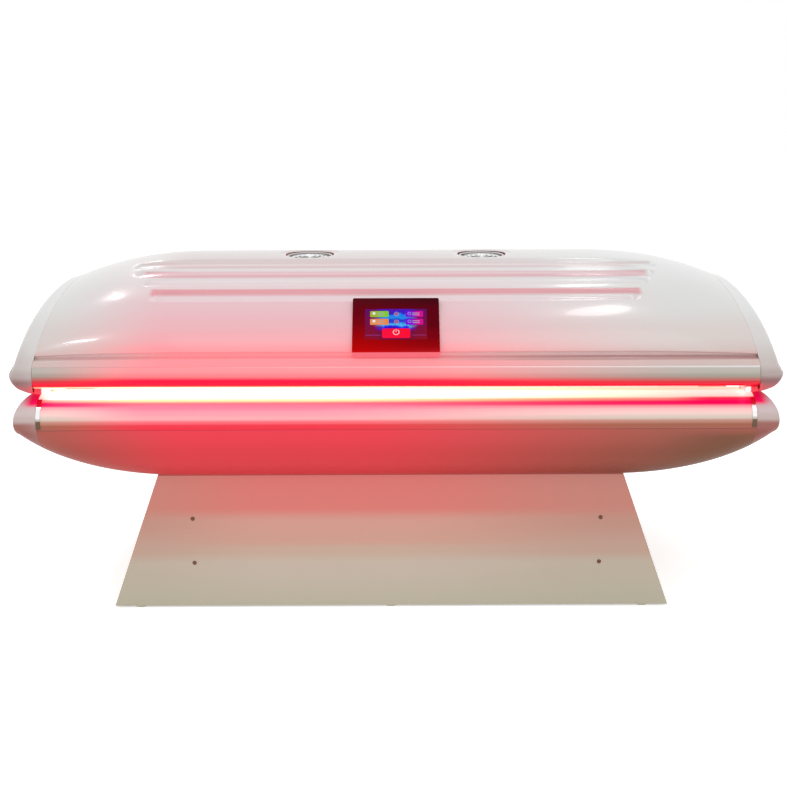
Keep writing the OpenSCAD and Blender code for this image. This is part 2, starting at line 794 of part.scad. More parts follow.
module power_switch() {
    color("red") translate([rocker_x, rocker_pin_y, inlet_z]) difference() {
        linear_extrude(rocker_width, center = true) polygon(rocker_section);
        cylinder(h = rocker_width + 2, r = rocker_pin_r + rocker_play, center = true);
    }
}

// Thickness of the fan frames round their ducts
duct_wall = 3;
duct_r = fan_size / 2 - duct_wall;
module tub_shell() {
    color("mistyrose") difference() {
        skin([for (x = tub_columns) tub_column(x, 0)], [for (x = tub_columns) tub_column(x, 1)]);
        for (side = [-1, 1])
            translate([side * tub_fan_x, 0, pedestal_height - cut_reach / 2])
                cylinder(h = 1.5 * cut_reach, r = duct_r);
    }
}
module tub_cap() {
    color("mistyrose") difference() {
        tub_cap_solid(0);
        difference() {
            tub_cap_solid(cap_wall);
            basin_cut(cap_wall);
        }
        basin_cut(0);
    }
}
module tub_end_cap_right() {
    tub_cap();
}
module tub_end_cap_left() {
    mirror([1, 0, 0]) tub_cap();
}
deck_lip = 5;
deck_lip_y = basin_half - deck_lip;
rail_low_angle = seam_angle(0, 0);
function rail_outer(inset) = concat(
    [for (i = [0:2]) tub_low(rail_low_angle * (1 - i / 3), 0, inset)],
    [for (i = [0:14]) nose(i * 90 / 14, tub_rail_top, inset)]
);
rail_section = let (outer = rail_outer(0), inner = rail_outer(tub_wall))
    concat(
        outer,
        [[deck_lip_y, tub_rail_top], [deck_lip_y, tub_rail_top - tub_wall]],
        [for (i = [len(inner) - 1:-1:1]) inner[i]],
        [[inner[0][0], rail_seam_z]]
    );
// Ends of the shorter pair of rails, from which springs and buffers are measured
rail_tongue = 5;
// Play between the ends or heads of the rails and their neighbours
rail_play = 0.2;
rail_head_z = flange_bottom - rail_play;
rail_end_x = seam_s * (straight_half - lean(rail_head_z + rail_tongue)) - rail_play;
rail_reach = min(tub_seam_x, rail_end_x);
spring_x = rail_reach - spring_inset;
tray_half_length = rail_reach - tray_inset;
slot_half_x = 13;
slot_front = 15;
slot_back = 45;
slot_y0 = spring_y - slot_front;
slot_y1 = spring_y + slot_back;
module spring_slots(z0, z1) {
    at_both_ends() block(spring_x - slot_half_x, spring_x + slot_half_x, slot_y0, slot_y1, z0, z1);
}
module tub_front_rail() {
    color("lightpink") bar(-tub_seam_x + rail_play, tub_seam_x - rail_play, mirror_y(rail_section));
}
module tub_rear_rail() {
    color("lightpink") difference() {
        bar(-tub_seam_x + rail_play, tub_seam_x - rail_play, rail_section);
        spring_slots(tub_rail_top - 1.5 * cut_reach, tub_rail_top + 5);
    }
}
tub_arc_z = tub_bottom_z + acrylic_r;
function tub_arc(r, a0, a1, steps) = [for (p = arc(0, 0, r, a0, a1, steps)) [p[0], tub_arc_z - p[1]]];
function canopy_arc(r, a0, a1, steps) = arc(0, canopy_arc_z, r, a0, a1, steps);
function sheet_low(r0, r1, angle, steps) =
    concat(tub_arc(r0, -angle, angle, steps), tub_arc(r1, angle, -angle, steps));
function sheet_high(r0, r1, angle, steps) =
    concat(canopy_arc(r0, -angle, angle, steps), canopy_arc(r1, angle, -angle, steps));
module tub_acrylic() {
    color("white", 0.8) bar(-tub_seam_x + seat, tub_seam_x - seat,
        sheet_low(acrylic_r, acrylic_r + acrylic_thickness, acrylic_angle, 40));
}
module tub_light_tray() {
    color("silver") bar(-tray_half_length, tray_half_length, sheet_low(tray_r, tray_back_r, tray_angle, 24));
}
board_angle = 2 * tray_angle / board_count;
module boards(z, turn) {
    color("whitesmoke") for (k = [0:board_count - 1])
        translate([0, 0, z]) rotate([turn + (k - (board_count - 1) / 2) * board_angle, 0, 0])
            block(
                -tray_half_length + board_inset, tray_half_length - board_inset,
                -board_width / 2, board_width / 2,
                -tray_r + board_seat, -tray_r + board_seat + board_thickness
            );
}
board_inset = 10;
board_play = 0.2;
// A flat board bridges the curved tray, so its middle stands this far off it
board_seat = tray_r - sqrt(tray_r * tray_r - board_width * board_width / 4) + board_play;
module tub_light_boards() {
    boards(tub_arc_z, 0);
}
// Ribs fill the space between shell and tray and reach up beside the acrylic
rib_inset_x = 61;
rib_x = floor_start - rib_inset_x;
rib_top_z = basin_edge_z;
acrylic_back_r = acrylic_r + acrylic_thickness + seat;
ear_step = 1;
ear_angle = tray_angle + ear_step;
// The ribs go a little past the edge of the acrylic
edge_step = 0.1;
edge_angle = acrylic_angle + edge_step;
// Width of the flat on the top of a rib beside the acrylic
rib_flat = 4;
rib_low_angle = seam_angle(0, tub_wall);
tub_rib_section = concat(
    [for (i = [0:tub_rows - 1]) tub_low(90 + (rib_low_angle - 90) * i / tub_rows, 0, tub_wall + seat)],
    [for (a = [0:15:60]) nose(a, tub_rail_top, tub_wall + seat)],
    [[nose_y + rib_flat, rib_top_z], [acrylic_back_r * sin(edge_angle), rib_top_z]],
    tub_arc(acrylic_back_r, edge_angle, ear_angle, 4),
    tub_arc(tray_back_r + seat, ear_angle, 0, 10)
);
// Holes for the wiring, through all ribs
wire_hole_r = 16;
wire_hole_y = 120;
module rib_holes(z, y) {
    for (side = [-1, 1]) translate([0, side * y, z]) rotate([0, 90, 0])
        cylinder(h = 2 * canopy_half_length, r = wire_hole_r, center = true);
}
// A rib from the section of its rear half
module rib_plate(x, half) {
    bar(x - rib_thickness / 2, x + rib_thickness / 2, concat(half, mirror_y(half)));
}
module tub_rib(x) {
    color("burlywood") difference() {
        rib_plate(x, tub_rib_section);
        rib_holes(pedestal_height + 33, wire_hole_y);
        rib_holes(nose_z - 40, nose_y + 35);
    }
}
module tub_rib_left() {
    tub_rib(-rib_x);
}
module tub_rib_middle() {
    tub_rib(0);
}
module tub_rib_right() {
    tub_rib(rib_x);
}
// Polished joint strips over the ends of the tub rails
strip_width = 15;
strip_proud = 1.3;
strip_play = 0.15;
strip_angle = 55.8;
strip_low_z = rail_seam_z + 4;
strip_section = concat(
    [[nose_y + nose_width + strip_proud, strip_low_z]],
    [for (i = [0:9]) nose(strip_angle * i / 9, tub_rail_top, -strip_proud)],
    [for (i = [9:-1:0]) nose(strip_angle * i / 9, tub_rail_top, -strip_play)],
    [[nose_y + nose_width + strip_play, strip_low_z]]
);
module rail_end_strips() {
    color("silver") at_both_ends() for (section = [strip_section, mirror_y(strip_section)])
        bar(tub_seam_x - strip_width, tub_seam_x - seam_gap, section);
}

// Axial fans that cool the light trays, with a fixed pin in the middle of each frame
rotor_play = 3;
rotor_r = duct_r - rotor_play;
rotor_lift = 4;
rotor_height = fan_height - 2 * rotor_lift;
hub_r = 20;
blade_count = 7;
blade_pitch_angle = 38;
blade_chord = 26;
blade_thickness = 1.8;
blade_root = hub_r - 2;
fan_pin_r = 3;
fan_pin_play = 0.05;
fan_hole_inset = 7.5;
fan_hole_r = 2.2;
spider_height = 3;
spider_r = 22;
spider_arm_w = 5;
spider_turn = 20;
module fan_frame(x, y, z) {
    half = fan_size / 2;
    color([0.12, 0.12, 0.13]) translate([x, y, z]) {
        difference() {
            block(-half, half, -half, half, 0, fan_height);
            translate([0, 0, -1]) cylinder(h = fan_height + 2, r = duct_r);
            for (dx = [-1, 1], dy = [-1, 1])
                translate([dx * (half - fan_hole_inset), dy * (half - fan_hole_inset), -1])
                    cylinder(h = fan_height + 2, r = fan_hole_r);
        }
        cylinder(h = spider_height, r = spider_r);
        cylinder(h = rotor_lift + rotor_height - 2, r = fan_pin_r);
        for (turn = [0:90:270]) rotate([0, 0, turn + spider_turn])
            block(spider_r - 2, half - 1, -spider_arm_w / 2, spider_arm_w / 2, 0, spider_height);
    }
}
module fan_blade() {
    translate([blade_root, 0, rotor_height / 2]) rotate([blade_pitch_angle, 0, 0])
        translate([0, -blade_chord / 2, -blade_thickness / 2])
            cube([rotor_r - blade_root, blade_chord, blade_thickness]);
}
module fan_rotor(x, y, z) {
    color([0.2, 0.2, 0.22]) translate([x, y, z + rotor_lift]) difference() {
        union() {
            cylinder(h = rotor_height, r = hub_r);
            for (k = [0:blade_count - 1]) rotate([0, 0, k * 360 / blade_count]) fan_blade();
        }
        translate([0, 0, -1]) cylinder(h = fan_height, r = fan_pin_r + fan_pin_play);
    }
}
tub_fan_z = pedestal_height - fan_height;
well_r = fan_size / 2 + well_margin;
well_depth = 14;
well_floor_z = crown_z - well_depth;
canopy_fan_z = well_floor_z - fan_height;
module tub_fan_frame_left() {
    fan_frame(-tub_fan_x, 0, tub_fan_z);
}
module tub_fan_frame_right() {
    fan_frame(tub_fan_x, 0, tub_fan_z);
}
module tub_fan_rotor_left() {
    fan_rotor(-tub_fan_x, 0, tub_fan_z);
}
module tub_fan_rotor_right() {
    fan_rotor(tub_fan_x, 0, tub_fan_z);
}
module canopy_fan_frame_left() {
    fan_frame(-canopy_fan_x, -canopy_fan_y, canopy_fan_z);
}
module canopy_fan_frame_right() {
    fan_frame(canopy_fan_x, -canopy_fan_y, canopy_fan_z);
}
module canopy_fan_rotor_left() {
    fan_rotor(-canopy_fan_x, -canopy_fan_y, canopy_fan_z);
}
module canopy_fan_rotor_right() {
    fan_rotor(canopy_fan_x, -canopy_fan_y, canopy_fan_z);
}
well_ring_height = 8;
well_flange = 4;
well_flange_height = 2;
module fan_well(x) {
    color("gray") translate([x, -canopy_fan_y, well_floor_z]) difference() {
        union() {
            cylinder(h = well_ring_height, r = well_r - seat);
            cylinder(h = well_flange_height, r = well_r + well_flange);
        }
        translate([0, 0, -1]) cylinder(h = well_ring_height + 2, r = duct_r);
    }
}
module fan_well_left() {
    fan_well(-canopy_fan_x);
}
module fan_well_right() {
    fan_well(canopy_fan_x);
}
// Chromed finger guard of flat rings and spokes that rests in the well
guard_ring_count = 4;
guard_pitch = 12;
guard_wire = 2.4;
guard_height = 2;
guard_lift = 0.5;
guard_hub_r = 5;
guard_play = 0.2;
module fan_guard(x) {
    spoke_start = guard_hub_r - 1;
    color("silver") translate([x, -canopy_fan_y, well_floor_z + guard_lift]) linear_extrude(guard_height) {
        for (k = [1:guard_ring_count]) difference() {
            circle(r = guard_pitch * k + guard_wire / 2);
            circle(r = guard_pitch * k - guard_wire / 2);
        }
        circle(r = guard_hub_r);
        for (turn = [0:90:270]) rotate(turn) translate([spoke_start, -guard_wire / 2])
            square([duct_r - guard_play - spoke_start, guard_wire]);
    }
}
module fan_guard_left() {
    fan_guard(-canopy_fan_x);
}
module fan_guard_right() {
    fan_guard(canopy_fan_x);
}

// Control panel on the slope of the canopy
panel_place = arch(panel_angle, -panel_stand);
panel_depth = 26;
panel_corner = 4;
panel_rim = 2.5;
panel_wall = 8;
panel_back = 3;
glass_depth = 2.2;
glass_thickness = 2;
glass_play = 0.3;
module on_panel() {
    translate([0, -panel_place[0], panel_place[1]]) rotate([panel_tilt, 0, 0]) children();
}
module rounded(w, h, r) {
    square([w - 2 * r, h], center = true);
    square([w, h - 2 * r], center = true);
    for (x = [-1, 1], y = [-1, 1]) translate([x * (w / 2 - r), y * (h / 2 - r)]) circle(r = r);
}
// A plate of the panel with its edges this far inside the panel's outline
module panel_plate(z, thickness, inset, corner) {
    translate([0, 0, z]) linear_extrude(thickness)
        rounded(panel_width - 2 * inset, panel_height - 2 * inset, corner);
}
glass_corner = panel_corner - 2;
module panel_housing() {
    color("maroon") on_panel() difference() {
        panel_plate(-panel_depth, panel_depth, 0, panel_corner);
        panel_plate(-glass_depth, glass_depth + 1, panel_rim, glass_corner);
        panel_plate(-panel_depth + panel_back, panel_depth, panel_wall, glass_corner);
    }
}
// Place of the display above the middle of the glass, and the depth of its back
display_y = 1.5;
display_back = 8;
module panel_screen() {
    color("black") on_panel() {
        panel_plate(-glass_depth, glass_thickness, panel_rim + glass_play, glass_corner);
        translate([0, display_y, -display_back]) linear_extrude(display_back - glass_depth + 0.1)
            square([display_width, display_height], center = true);
    }
}
// Circuit board on four stand-offs behind the display
board_margin = 20;
board_depth = 14;
circuit_thickness = 1.6;
standoff_r = 4;
module panel_board() {
    foot = -panel_depth + panel_back + 0.1;
    color("darkgreen") on_panel() {
        translate([0, 0, -board_depth]) linear_extrude(circuit_thickness)
            square([display_width + board_margin, display_height + board_margin], center = true);
        for (x = [-1, 1], y = [-1, 1])
            translate([x * display_width / 2, y * display_height / 2, foot])
                cylinder(h = -board_depth - foot + 0.1, r = standoff_r);
    }
}

module canopy_shell() {
    color("whitesmoke") difference() {
        skin([for (s = shell_columns) shell_column(s, 0)], [for (s = shell_columns) shell_column(s, 1)]);
        for (side = [-1, 1])
            translate([side * canopy_fan_x, -canopy_fan_y, crown_z - 3 * cut_reach])
                cylinder(h = 4.5 * cut_reach, r = well_r);
        on_panel() panel_plate(-panel_depth - 1.5 * cut_reach, 4 * cut_reach, -seat, panel_corner);
    }
}
// Feet of the caps reach under the ends of the rails
foot_inset = 30;
foot_reach = 28;
foot_x = rail_reach - foot_inset;
foot_end_x = rail_end_x + foot_reach;
foot_half_y0 = basin_half + tunnel_margin;
foot_margin = 10;
foot_half_y1 = half_depth - foot_margin;
acrylic_overrun = 8;
acrylic_half_length = straight_half - canopy_lean + acrylic_overrun;
cavity_start = acrylic_half_length - 100;
cavity_end = canopy_half_length + cut_reach / 2;
module canopy_cap() {
    color("whitesmoke") difference() {
        union() {
            canopy_cap_solid(0);
            for (y = [[foot_half_y0, foot_half_y1], [-foot_half_y1, -foot_half_y0]])
                block(foot_x, foot_end_x, y[0], y[1], canopy_bottom, canopy_deck_z - seat);
        }
        difference() {
            canopy_cap_solid(cap_wall);
            tunnel_cut(tunnel_r + cap_wall, cavity_start, cavity_end);
        }
        tunnel_cut(tunnel_r, cavity_start, cavity_end);
    }
}
module canopy_end_cap_right() {
    canopy_cap();
}
module canopy_end_cap_left() {
    mirror([1, 0, 0]) canopy_cap();
}
proud = 1.5;
// Lip of the rail that stands up before the edge of the acrylic
lip_width = 3;
lip_rise = 1.2;
lip_slope = 1.6;
// Tongue of the rail behind the flange of the shell
tongue_near = 1.9;
tongue_width = 2.1;
curl_height = 23;
curl_width = 21.5;
rail_curl_z = canopy_deck_z + curl_height;
function rail_row(k) = rail_head_z + (rail_curl_z - rail_head_z) * k;
function curl(inset) = [
    for (a = [0:15:90])
        [
            half_depth + proud - curl_width + (curl_width - inset) * cos(a),
            rail_curl_z - (curl_height - inset) * sin(a)
        ]
];
canopy_rail_section = concat(
    [[flange_foot_y - seat, rail_head_z], [arch_y(rail_head_z) + proud, rail_head_z]],
    [for (k = [0.4, 0.7]) [arch_y(rail_row(k)) + proud, rail_row(k)]],
    curl(0),
    [
        [deck_lip_y, canopy_deck_z], [deck_lip_y, canopy_edge_z + lip_rise],
        [deck_lip_y + lip_width, canopy_edge_z + lip_rise - lip_slope],
        [deck_lip_y + lip_width, canopy_deck_z + tub_wall]
    ],
    [for (i = [6:-1:0]) curl(tub_wall)[i]],
    [
        [arch_y(rail_row(0.4)) + proud - tub_wall, rail_row(0.4)],
        [flange_foot_y - tub_wall, rail_head_z - rail_tongue - 1],
        [flange_foot_y - tongue_near - tongue_width, rail_head_z + rail_tongue],
        [flange_foot_y - tongue_near, rail_head_z + rail_tongue]
    ]
);
module canopy_front_rail() {
    color("lightpink") bar(-rail_end_x, rail_end_x, mirror_y(canopy_rail_section));
}
module canopy_rear_rail() {
    color("lightpink") difference() {
        bar(-rail_end_x, rail_end_x, canopy_rail_section);
        spring_slots(canopy_deck_z - 5, canopy_deck_z + 10);
    }
}
module canopy_acrylic() {
    color("white", 0.8) bar(-acrylic_half_length, acrylic_half_length,
        sheet_high(acrylic_r, acrylic_r + acrylic_thickness, acrylic_angle, 40));
}
module canopy_light_tray() {
    color("silver") bar(-tray_half_length, tray_half_length, sheet_high(tray_r, tray_back_r, tray_angle, 24));
}
module canopy_light_boards() {
    boards(canopy_arc_z, 180);
}
canopy_rib_x = 450;
rib_inset = shell_wall + groove_depth + seat;
rib_side_play = 2;
rib_side_y = cove_y - shell_wall - rib_side_play;
rib_foot_z = canopy_deck_z + tub_wall + seat;
canopy_rib_section = concat(
    [for (t = [0:6:66]) arch(t, rib_inset)],
    [[rib_side_y, arch(arch_edge - 2, rib_inset)[1] - rib_side_play], [rib_side_y, rib_foot_z]],
    [[acrylic_back_r * sin(edge_angle), rib_foot_z]],
    canopy_arc(acrylic_back_r, edge_angle, ear_angle, 4),
    canopy_arc(tray_back_r + seat, ear_angle, 0, 10)
);
module canopy_rib(x) {
    color("burlywood") difference() {
        rib_plate(x, canopy_rib_section);
        rib_holes(canopy_arc_z + tray_back_r + 40, wire_hole_y);
    }
}
module canopy_rib_left() {
    canopy_rib(-canopy_rib_x);
}
module canopy_rib_right() {
    canopy_rib(canopy_rib_x);
}

// Rear hinges, whose pins run through three knuckles each
leaf_inset = 4;
leaf_end = 10;
leaf_overlap = 12;
leaf_gap = 3;
leaf_y0 = basin_half + leaf_inset;
leaf_y1 = hinge_y - leaf_end;
leaf_thickness = 3;
knuckle_r = 9;
knuckle_half = 21.5;
knuckle_gap = 0.5;
knuckle_end = 60;
pin_play = 0.05;
pin_bore = hinge_pin_r + pin_play;
pin_head_r = knuckle_r - 1;
pin_head_height = 1.9;
pin_overhang = 2;
module at_hinges() {
    for (side = [-1, 1]) translate([side * hinge_x, 0, 0]) children();
}
module knuckle(x0, x1) {
    translate([x0, hinge_y, hinge_z]) rotate([0, 90, 0]) cylinder(h = x1 - x0, r = knuckle_r);
}
module pin_hole() {
    translate([0, hinge_y, hinge_z]) rotate([0, 90, 0])
        cylinder(h = 2 * knuckle_end + 4 * cut_reach, r = pin_bore, center = true);
}
module hinge_tub_leaves() {
    color("silver") at_hinges() difference() {
        union() {
            block(-knuckle_end, knuckle_end, leaf_y0, leaf_y1, tub_rail_top, tub_rail_top + leaf_thickness);
            for (side = [-1, 1]) {
                x0 = side > 0 ? knuckle_half + knuckle_gap : -knuckle_end;
                x1 = x0 + knuckle_end - knuckle_half - knuckle_gap;
                knuckle(x0, x1);
                block(x0, x1, leaf_y1 - leaf_overlap, hinge_y, tub_rail_top, hinge_z - leaf_gap);
            }
        }
        pin_hole();
    }
}
module hinge_canopy_leaves() {
    color("silver") at_hinges() difference() {
        union() {
            block(-knuckle_end, knuckle_end, leaf_y0, leaf_y1, canopy_deck_z - leaf_thickness, canopy_deck_z);
            knuckle(-knuckle_half, knuckle_half);
            block(
                -knuckle_half, knuckle_half, leaf_y1 - leaf_overlap, hinge_y,
                hinge_z + leaf_gap, canopy_deck_z - knuckle_gap
            );
        }
        pin_hole();
    }
}
module hinge_pins() {
    color("gray") at_hinges() translate([0, hinge_y, hinge_z]) rotate([0, 90, 0]) {
        cylinder(h = 2 * (knuckle_end + pin_overhang), r = hinge_pin_r, center = true);
        for (side = [-1, 1]) translate([0, 0, side * (knuckle_end + pin_overhang + pin_head_height / 2 - 0.1)])
            cylinder(h = pin_head_height, r = pin_head_r, center = true);
    }
}

// Gas springs between brackets in the rails
spring_pin_r = 4;
eye_half = 8;
eye_r = 9;
cheek_inner = slot_half_x - 0.5;
cheek_thickness = 3;
cheek_step = 0.8;
spring_length = spring_high_z - spring_low_z;
// Length of the rod and the upper eye outside the closed tube
rod_out = 48;
tube_top = spring_length - rod_out;
tube_start = 12;
neck_start = 5;
neck_r = 6;
tube_skin = 2.5;
tube_floor = 4;
guide_height = 10;
guide_play = 0.06;
piston_height = 10;
piston_play = 0.3;
rod_start = 20;
rod_short = 7;
eye_wall = 3.3;
// Radius of the upper eye's wide bore, which lets the rod follow its true path
open_bore_r = 7.2;
module spring_at(side, z) {
    translate([side * spring_x, spring_y, z]) children();
}
module cross_pin(r, half) {
    rotate([0, 90, 0]) cylinder(h = 2 * half, r = r, center = true);
}
// A pair of bracket cheeks with their pin, from the cheeks' section in Y and Z
module spring_cheeks(side, inner, section, pin_z) {
    for (cheek = [-1, 1]) {
        x = side * spring_x + cheek * (inner + cheek_thickness / 2);
        bar(x - cheek_thickness / 2, x + cheek_thickness / 2, section);
    }
    spring_at(side, pin_z) cross_pin(spring_pin_r, inner + cheek_thickness);
}
cheek_back_y = nose_y + nose_width - tub_wall - seat;
tub_cheek = [
    [spring_y - eye_r, spring_low_z - eye_r], [spring_y + 12, spring_low_z - eye_r],
    [cheek_back_y, tub_widest_z + 1], [cheek_back_y, nose_z],
    nose(45, tub_rail_top, tub_wall + seat),
    [nose_y + rib_flat, rib_top_z], [spring_y - eye_r, rib_top_z]
];
canopy_cheek = [
    [spring_y - 12, canopy_deck_z + tub_wall], [spring_y + 30, canopy_deck_z + tub_wall],
    [spring_y + 12, spring_high_z + 10], [spring_y - 10, spring_high_z + 10]
];
module spring_tub_brackets() {
    color("dimgray") for (side = [-1, 1]) spring_cheeks(side, cheek_inner, tub_cheek, spring_low_z);
}
module spring_canopy_brackets() {
    color("dimgray") for (side = [-1, 1])
        spring_cheeks(side, cheek_inner + cheek_step, canopy_cheek, spring_high_z);
}
module spring_tube(side) {
    cavity_start = tube_start + tube_floor;
    color("black") spring_at(side, spring_low_z) difference() {
        union() {
            cross_pin(eye_r, eye_half);
            translate([0, 0, neck_start]) cylinder(h = tube_start - neck_start + 2, r = neck_r);
            translate([0, 0, tube_start]) cylinder(h = tube_top - tube_start, r = spring_tube_r);
        }
        cross_pin(spring_pin_r + pin_play, eye_half + 1);
        translate([0, 0, cavity_start])
            cylinder(h = tube_top - cavity_start - guide_height + 2, r = spring_tube_r - tube_skin);
        translate([0, 0, tube_top - guide_height])
            cylinder(h = guide_height + 2, r = spring_rod_r + guide_play);
    }
}
module spring_tube_left() {
    spring_tube(-1);
}
module spring_tube_right() {
    spring_tube(1);
}
module spring_rod(side) {
    color("silver") spring_at(side, spring_low_z) difference() {
        union() {
            translate([0, 0, rod_start])
                cylinder(h = spring_length - rod_start - rod_short, r = spring_rod_r);
            translate([0, 0, rod_start])
                cylinder(h = piston_height, r = spring_tube_r - tube_skin - piston_play);
            translate([0, 0, spring_length]) cross_pin(open_bore_r + eye_wall, eye_half);
        }
        translate([0, 0, spring_length]) cross_pin(open_bore_r, eye_half + 1);
    }
}
module spring_rod_left() {
    spring_rod(-1);
}
module spring_rod_right() {
    spring_rod(1);
}
// Rubber buffers on the tub rails under the feet of the canopy's end caps
buffer_r = 6.5;
buffer_play = 0.5;
buffer_inset = 15;
module rest_buffers() {
    color("black") at_both_ends() for (side = [-1, 1])
        translate([foot_x + buffer_inset, side * (foot_half_y0 + buffer_r + buffer_play), tub_rail_top])
            cylinder(h = canopy_bottom - tub_rail_top - seat, r = buffer_r);
}

base_frame();
base_front_panel();
base_rear_panel();
base_left_panel();
base_right_panel();
levelling_feet();
panel_screws();
floor_tray();
power_supply_left();
power_supply_right();
control_box();
power_inlet();
power_switch();
tub_shell();
tub_end_cap_left();
tub_end_cap_right();
tub_front_rail();
tub_rear_rail();
tub_rib_left();
tub_rib_middle();
tub_rib_right();
tub_light_tray();
tub_light_boards();
tub_acrylic();
rail_end_strips();
tub_fan_frame_left();
tub_fan_frame_right();
tub_fan_rotor_left();
tub_fan_rotor_right();
canopy_shell();
canopy_end_cap_left();
canopy_end_cap_right();
canopy_front_rail();
canopy_rear_rail();
canopy_rib_left();
canopy_rib_right();
canopy_light_tray();
canopy_light_boards();
canopy_acrylic();
fan_well_left();
fan_well_right();
fan_guard_left();
fan_guard_right();
canopy_fan_frame_left();
canopy_fan_frame_right();
canopy_fan_rotor_left();
canopy_fan_rotor_right();
panel_housing();
panel_screen();
panel_board();
hinge_tub_leaves();
hinge_canopy_leaves();
hinge_pins();
spring_tub_brackets();
spring_canopy_brackets();
spring_tube_left();
spring_tube_right();
spring_rod_left();
spring_rod_right();
rest_buffers();
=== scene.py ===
# %% [markdown]
# # Red light therapy bed
# The bed is a shallow tub on a pedestal under a hinged canopy, both lined with curved acrylic over
# rows of red lamps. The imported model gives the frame: one object for each solid part, each on its
# body. Lengths are in metres, the front is at -Y and +Z is up. What the eye falls on first, the
# moulded skins, the rails, the panel and what repeats, is built again here from the same forms with
# finer steps. The inner parts stay as they are and only get a finish, because few would see more.

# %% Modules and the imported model
import json
import math

import bmesh
import bpy
import numpy as np
from mathutils import Matrix, Vector


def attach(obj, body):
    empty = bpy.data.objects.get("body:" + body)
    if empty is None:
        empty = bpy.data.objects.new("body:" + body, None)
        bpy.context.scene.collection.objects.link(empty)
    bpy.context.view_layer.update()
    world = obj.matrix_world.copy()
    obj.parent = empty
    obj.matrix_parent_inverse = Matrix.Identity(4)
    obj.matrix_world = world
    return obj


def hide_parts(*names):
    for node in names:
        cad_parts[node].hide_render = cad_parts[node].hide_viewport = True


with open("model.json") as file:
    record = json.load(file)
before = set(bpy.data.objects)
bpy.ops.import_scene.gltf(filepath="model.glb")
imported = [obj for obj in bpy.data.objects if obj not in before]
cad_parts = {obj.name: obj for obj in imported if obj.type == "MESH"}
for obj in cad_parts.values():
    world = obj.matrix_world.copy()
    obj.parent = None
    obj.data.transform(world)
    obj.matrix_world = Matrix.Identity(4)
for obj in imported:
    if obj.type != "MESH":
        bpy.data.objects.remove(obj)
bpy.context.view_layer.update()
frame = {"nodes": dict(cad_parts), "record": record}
print("solid parts in the frame:", len(frame["nodes"]))

# %% [markdown]
# ## Camera
# The camera stands in front of the bed at the height of a grown person's eyes and looks down a
# little. It could be placed by eye, but then no edge of the bed would fall where the photograph has
# it. So its height, tilt and focal length were worked out from the outline of the bed. The middle
# of the lens isn't the middle of the picture, which is what the two shifts are for.

# %% Camera
IMAGE_WIDTH = 787
FOCAL_PIXELS = 1167.8
PRINCIPAL = (396.0, 352.5)
CAMERA_PLACE = (0.0, -3.2, 1.3502)
CAMERA_TILT, CAMERA_ROLL = 77.0, -0.22


def add_camera():
    data = bpy.data.cameras.new("camera")
    data.sensor_width = 36.0
    data.lens = data.sensor_width * FOCAL_PIXELS / IMAGE_WIDTH
    data.shift_x = -(PRINCIPAL[0] - IMAGE_WIDTH / 2) / IMAGE_WIDTH
    data.shift_y = (PRINCIPAL[1] - IMAGE_WIDTH / 2) / IMAGE_WIDTH
    camera = bpy.data.objects.new("camera", data)
    tilt = Matrix.Rotation(math.radians(CAMERA_TILT), 4, "X")
    roll = Matrix.Rotation(math.radians(CAMERA_ROLL), 4, "Z")
    camera.matrix_world = Matrix.Translation(CAMERA_PLACE) @ (tilt @ roll)
    bpy.context.scene.collection.objects.link(camera)
    bpy.context.scene.camera = camera
    return data


print("lens, mm:", round(add_camera().lens, 2))

# %% [markdown]
# ## Mesh helpers
# Nearly every visible part of the bed is a moulding or an extruded profile. Such a form is a section
# that changes along a path, so most helpers here lay a net of points over sections and join them
# with four-sided faces. Modelling by hand with a pushed and pulled cube would be quicker for one
# part, but it couldn't follow the exact forms of the solids underneath.


# %% Nets, lofts and bars
# An edge that turns by more degrees than this stays sharp in the shading
SHARP = 35


def mesh_object(name, verts, faces, sharp=SHARP):
    mesh = bpy.data.meshes.new(name)
    mesh.from_pydata([tuple(v) for v in verts], [], faces)
    mesh.validate()
    mesh.update()
    mesh.shade_smooth()
    mesh.set_sharp_from_angle(angle=math.radians(sharp))
    obj = bpy.data.objects.new(name, mesh)
    bpy.context.scene.collection.objects.link(obj)
    return obj


def grid_faces(n, m, closed=False):
    last = m if closed else m - 1
    return [
        (i * m + j, (i + 1) * m + j, (i + 1) * m + (j + 1) % m, i * m + (j + 1) % m)
        for i in range(n - 1)
        for j in range(last)
    ]


def grid_object(name, columns):
    points = np.array(columns)
    n, m = points.shape[:2]
    return mesh_object(name, points.reshape(-1, 3), grid_faces(n, m))


def loft_object(name, sections, sharp=SHARP):
    # A solid through closed sections, with a face over each end
    points = np.array(sections)
    n, m = points.shape[:2]
    faces = grid_faces(n, m, closed=True)
    faces.append(tuple(range(m)))
    faces.append(tuple((n - 1) * m + k for k in range(m - 1, -1, -1)))
    return mesh_object(name, points.reshape(-1, 3), faces, sharp)


def bar_object(name, section, stations, sharp=SHARP):
    # A section in Y and Z drawn out along X
    obj = loft_object(name, [[(x, y, z) for y, z in section] for x in stations], sharp)
    outward(obj)
    return obj


def outward(obj):
    # Turns all faces of a closed mesh outwards
    b = bmesh.new()
    b.from_mesh(obj.data)
    bmesh.ops.recalc_face_normals(b, faces=b.faces)
    b.to_mesh(obj.data)
    b.free()


# %% [markdown]
# ### Cutting and copying
# Holes, slots and hollows come from a tool body that is taken away from the part, as a cutter does
# on a real one, and a foot is joined on in the same way. A Boolean modifier would keep the tool
# editable, but later steps need a plain mesh, so the result is applied at once and the tool
# removed. The right-hand caps are mirrored to make the left-hand ones. A mirror turns a mesh inside
# out, so the faces of the copy are flipped back.


